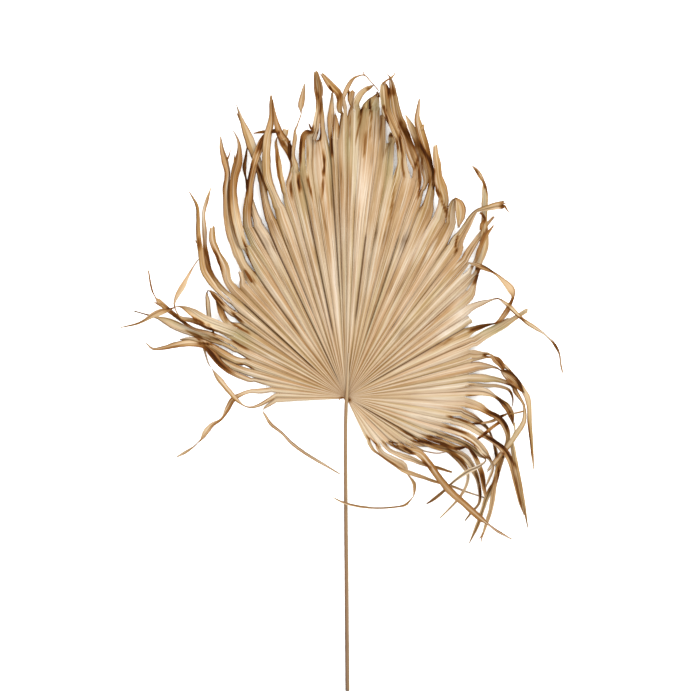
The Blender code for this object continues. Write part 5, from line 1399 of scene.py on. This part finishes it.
class Graph:
    """A material with short ways to add and join its nodes."""

    def __init__(self, name):
        self.material = bpy.data.materials.new(name)
        self.material.use_nodes = True
        self.tree = self.material.node_tree
        self.shader = self.tree.nodes["Principled BSDF"]

    def feed(self, socket, value):
        if isinstance(value, bpy.types.NodeSocket):
            self.tree.links.new(value, socket)
        else:
            socket.default_value = value

    def node(self, kind, inputs, **settings):
        made = self.tree.nodes.new("ShaderNode" + kind)
        for name, value in settings.items():
            setattr(made, name, value)
        for key, value in inputs.items():
            self.feed(made.inputs[key], value)
        return made

    def attribute(self, name, output="Fac"):
        return self.node("Attribute", {}, attribute_name=name).outputs[output]

    def math(self, operation, first, second=0.0, clamped=False):
        made = self.node("Math", {0: first, 1: second}, operation=operation, use_clamp=clamped)
        return made.outputs[0]

    def scaled(self, vector, factors):
        return self.node("VectorMath", {0: vector, 1: factors}, operation="MULTIPLY").outputs[0]

    def noise(self, vector, detail=2.0, roughness=0.5, low=0.3, high=0.7):
        """Noise whose values from low to high are spread out to 0 to 1."""
        inputs = {"Vector": vector, "Scale": 1.0, "Detail": detail, "Roughness": roughness}
        return self.spread(self.node("TexNoise", inputs).outputs["Fac"], low, high)

    def linear(self, value, slope, base):
        return self.math("ADD", self.math("MULTIPLY", value, slope), base)

    def inverse(self, value):
        return self.math("SUBTRACT", 1.0, value)

    def spread(self, value, low, high):
        """Value taken from low to high and stretched to 0 to 1; high may be another socket."""
        inputs = {"Value": value, "From Min": low, "From Max": high}
        return self.node("MapRange", inputs, clamp=True).outputs["Result"]

    def ramp(self, value, stops, level=1.0):
        made = self.node("ValToRGB", {"Fac": value})
        elements = made.color_ramp.elements
        while len(elements) < len(stops):
            elements.new(1.0)
        for element, (place, colour) in zip(elements, stops):
            element.position = place
            element.color = srgb(*colour, level=level)
        return made.outputs["Color"]

    def mix(self, share, first, second, blend="MIX"):
        made = self.node("Mix", {"Factor": share}, data_type="RGBA", blend_type=blend)
        self.feed(made.inputs[MIX_FIRST], first)
        self.feed(made.inputs[MIX_SECOND], second)
        return made.outputs[MIX_RESULT]

    def add_tones(self, *terms):
        """Sum of (value, weight, middle) terms, each value taken about its own middle."""
        total = None
        for value, weight, middle in terms:
            part = self.math("MULTIPLY", self.math("SUBTRACT", value, middle), weight)
            total = part if total is None else self.math("ADD", total, part)
        return total

    def overlay(self, share, colour, laid_over):
        """Colour with another one, given as values from 0 to 255, laid over a share of it."""
        return self.mix(share, colour, srgb(*laid_over, level=LEAF_LEVEL))

    def finish(self, colour, roughness, height, bump_depth):
        self.feed(self.shader.inputs["Base Color"], colour)
        self.feed(self.shader.inputs["Roughness"], roughness)
        inputs = {"Strength": BUMP_STRENGTH, "Distance": bump_depth * MM, "Height": height}
        self.feed(self.shader.inputs["Normal"], self.node("Bump", inputs).outputs["Normal"])
        return self.material


def leaf_streaks(graph, fibre):
    """Stripes along the leaf: whole pleat faces, wide and narrow stripes, and single fibres."""
    parts = graph.node("SeparateXYZ", {"Vector": fibre})
    line, radius = parts.outputs["X"], parts.outputs["Y"]
    face_number = graph.math("MULTIPLY", graph.math("FLOOR", line), FACE_SCALE[0])
    along = graph.math("MULTIPLY", radius, FACE_SCALE[1])
    face_place = graph.node("CombineXYZ", {0: face_number, 1: along}).outputs[0]
    faces = graph.noise(face_place, detail=1.0, low=0.35, high=0.65)
    groups = graph.noise(graph.scaled(fibre, GROUP_SCALE))
    patches = graph.noise(graph.scaled(fibre, PATCH_SCALE))
    broad = graph.noise(graph.scaled(fibre, BROAD_SCALE))
    narrow = graph.noise(graph.scaled(fibre, NARROW_SCALE), detail=3.0)
    single = graph.noise(graph.scaled(fibre, SINGLE_SCALE), detail=3.0, roughness=0.65)
    far = graph.spread(radius, *STREAKS_TURN)
    near = graph.inverse(far)
    return (
        (faces, graph.linear(graph.attribute("free"), *FACE_TONE), NOISE_MIDDLE),
        (groups, graph.math("MULTIPLY", near, GROUP_TONE), NOISE_MIDDLE),
        (patches, graph.math("MULTIPLY", far, PATCH_TONE), NOISE_MIDDLE),
        (broad, graph.linear(near, *BROAD_TONE), NOISE_MIDDLE),
        (narrow, graph.linear(far, *NARROW_TONE), NOISE_MIDDLE),
        (single, SINGLE_TONE, NOISE_MIDDLE),
    ), narrow, single


def thin_streaks(graph, fibre, across, width):
    """Thin broken lines along the leaf, where a slow noise passes through its middle value."""
    radius = graph.node("SeparateXYZ", {"Vector": fibre}).outputs["Y"]
    inputs = {"Vector": graph.scaled(fibre, (across, LINE_LENGTH, 1.0)), "Scale": 1.0, "Detail": 0.0}
    stray = graph.node("TexNoise", inputs).outputs["Fac"]
    off_middle = graph.math("ABSOLUTE", graph.math("SUBTRACT", stray, NOISE_MIDDLE))
    broken = graph.noise(graph.scaled(fibre, BROKEN_SCALE), low=0.42, high=0.6)
    strength = graph.math("MULTIPLY", broken, graph.spread(radius, *LINES_SET_IN))
    return line_strength(graph, off_middle, width, strength)


def line_strength(graph, distance, width, strength):
    """Share of a thin line's colour at a distance from it in millimetres."""
    inside = graph.inverse(graph.spread(distance, 0.0, width))
    return graph.math("MULTIPLY", inside, strength, clamped=True)


def plain_leaf_tone(graph, streaks, darker):
    """Brownness of the leaf, with painted shade that deepens into the valleys, without its dark edges and
    lines.
    """
    place = graph.node("TexCoord", {}).outputs["Object"]
    blotch = graph.noise(graph.scaled(place, (BLOTCH_SCALE,) * 3), detail=4.0)
    # Painted shade, deepest in the valleys
    shade = graph.math("POWER", graph.inverse(graph.attribute("ridge")), SHADE_POWER)
    return graph.add_tones(
        (graph.attribute("tone"), 1.0, -darker), *streaks,
        (blotch, BLOTCH_TONE, NOISE_MIDDLE), (shade, SHADE_TONE, SHADE_MIDDLE))


def brown_and_shaded_edges(graph, fibre):
    """Share of the brown, partly painted shade, that runs along the edges of the fingers, wider and
    narrower by turns.
    """
    patchy = graph.noise(graph.scaled(fibre, EDGE_SCALE), detail=3.0)
    return line_strength(graph, graph.attribute("off_edge"), graph.linear(patchy, *EDGE_WIDTH), patchy)


def tinted(graph, fibre, colour):
    """Leaf colour with the warm tint of the free fingers and the slow change of hue along the leaf."""
    free_tint = graph.mix(graph.attribute("free"), srgb(*WHITE), srgb(*FREE_TINT))
    colour = graph.mix(1.0, colour, free_tint, "MULTIPLY")
    hue = graph.noise(graph.scaled(fibre, HUE_SCALE), detail=1.0)
    return graph.mix(HUE_SHARE, colour, graph.ramp(hue, HUE_TINTS), "MULTIPLY")


def lined(graph, fibre, colour, narrow, on_pale):
    """Leaf colour with thin pale and brown lines, painted highlights along the ridges, valleys painted
    dark brown and partly as shade, and olive patches.
    """
    pale_lines = graph.math("MULTIPLY", thin_streaks(graph, fibre, *PALE_LINES), on_pale)
    colour = graph.overlay(pale_lines, colour, PALE_LINE)
    brown_lines = graph.math("MULTIPLY", thin_streaks(graph, fibre, *BROWN_LINES), BROWN_SHARE)
    colour = graph.overlay(brown_lines, colour, BROWN_LINE)
    # Painted highlights along the ridges
    ridge_strength = graph.math("MULTIPLY", narrow, on_pale)
    ridges = line_strength(graph, graph.attribute("off_ridge"), RIDGE_WIDTH, ridge_strength)
    colour = graph.overlay(ridges, colour, RIDGE_HIGHLIGHT)
    # Valleys painted dark brown, partly as the shade in the creases
    seam = graph.attribute("seam")
    valleys = line_strength(
        graph, graph.attribute("off_valley"), graph.linear(seam, *VALLEY_WIDTH),
        graph.linear(seam, *VALLEY_STRENGTH))
    colour = graph.overlay(valleys, colour, VALLEY_BROWN_AND_SHADE)
    streaky = graph.math("ADD", narrow, LEAF_OLIVE_BASE)
    green = graph.math("MULTIPLY", graph.attribute("green"), streaky, clamped=True)
    green = graph.math("MULTIPLY", green, graph.math("MULTIPLY", on_pale, LEAF_OLIVE_SHARE))
    return graph.overlay(green, colour, LEAF_OLIVE)


def leaf_material(name, darker):
    graph = Graph(name)
    fibre = graph.attribute("fibre", "Vector")
    streaks, narrow, single = leaf_streaks(graph, fibre)
    plain = plain_leaf_tone(graph, streaks, darker)
    on_pale = graph.inverse(graph.spread(plain, *DETAIL_FADE))
    # Brown edges, partly painted shade
    edges = graph.math("MULTIPLY", brown_and_shaded_edges(graph, fibre), on_pale)
    tone = graph.add_tones((plain, 1.0, 0.0), (edges, EDGE_TONE, 0.0))
    colour = tinted(graph, fibre, graph.ramp(tone, STRAW_TO_BROWN, LEAF_LEVEL))
    colour = lined(graph, fibre, colour, narrow, on_pale)
    height = graph.math("ADD", single, graph.math("MULTIPLY", narrow, NARROW_RELIEF))
    graph.shader.inputs["Specular IOR Level"].default_value = LEAF_SPECULAR
    return graph.finish(colour, graph.linear(single, *LEAF_ROUGHNESS), height, BUMP_DEPTH)


def stalk_material():
    graph = Graph("stalk_surface")
    fibre = graph.attribute("fibre", "Vector")
    streak = graph.noise(graph.scaled(fibre, STALK_STREAK_SCALE), detail=3.0)
    fine = graph.noise(graph.scaled(fibre, STALK_FINE_SCALE), detail=3.0, roughness=0.6)
    # The ridge term paints a highlight along the top of the stalk
    tone = graph.add_tones(
        (graph.attribute("tone"), 1.0, 0.0), (streak, STALK_STREAK_TONE, NOISE_MIDDLE),
        (fine, STALK_FINE_TONE, NOISE_MIDDLE), (graph.attribute("ridge"), STALK_TOP_HIGHLIGHT, SHADE_MIDDLE))
    colour = graph.ramp(tone, STRAW_TO_BROWN, LEAF_LEVEL)
    green = graph.math("MULTIPLY", graph.attribute("green"), STALK_OLIVE_SHARE)
    colour = graph.overlay(green, colour, STALK_OLIVE)
    graph.shader.inputs["Specular IOR Level"].default_value = STALK_SPECULAR
    height = graph.math("ADD", fine, streak)
    return graph.finish(colour, graph.linear(fine, *STALK_ROUGHNESS), height, BUMP_DEPTH)


def floor_material():
    graph = Graph("pale_floor")
    place = graph.node("TexCoord", {}).outputs["Object"]
    grain = graph.noise(graph.scaled(place, (FLOOR_SCALE,) * 3), detail=3.0)
    return graph.finish(graph.ramp(grain, FLOOR_GREYS), FLOOR_ROUGHNESS, grain, FLOOR_BUMP_DEPTH)


def add_floor():
    data = bpy.data.meshes.new("floor")
    signs = ((-1, -1), (1, -1), (1, 1), (-1, 1))
    data.from_pydata([(x * FLOOR_REACH, y * FLOOR_REACH, 0) for x, y in signs], [], [(0, 1, 2, 3)])
    data.materials.append(floor_material())
    floor = bpy.data.objects.new("floor", data)
    floor.location.z = -FLOOR_DROP * MM
    bpy.context.scene.collection.objects.link(floor)


def add_lights():
    world = bpy.data.worlds.new("studio")
    world.use_nodes = True
    background = world.node_tree.nodes["Background"]
    background.inputs["Color"].default_value = (1.0, 1.0, 1.0, 1.0)
    background.inputs["Strength"].default_value = WORLD_LIGHT
    bpy.context.scene.world = world
    data = bpy.data.lights.new("key", "SUN")
    data.energy = KEY_LIGHT
    data.angle = math.radians(KEY_SPREAD)
    key = bpy.data.objects.new("key", data)
    elevation = math.radians(KEY_ELEVATION)
    towards = polar(math.cos(elevation), KEY_BEARING, math.sin(elevation))
    key.rotation_euler = towards.to_track_quat("Z", "Y").to_euler()
    bpy.context.scene.collection.objects.link(key)


def add_camera():
    data = bpy.data.cameras.new("camera")
    data.sensor_width = SENSOR_WIDTH
    data.lens = SENSOR_WIDTH * CAMERA_HEIGHT / FRAME_WIDTH
    camera = bpy.data.objects.new("camera", data)
    camera.location = (*FRAME_CENTRE, CAMERA_HEIGHT)
    bpy.context.scene.collection.objects.link(camera)
    bpy.context.scene.camera = camera
    bpy.context.scene.view_settings.view_transform = "Standard"


add_camera()
add_lights()
add_floor()
build_leaf()
build_stalk()
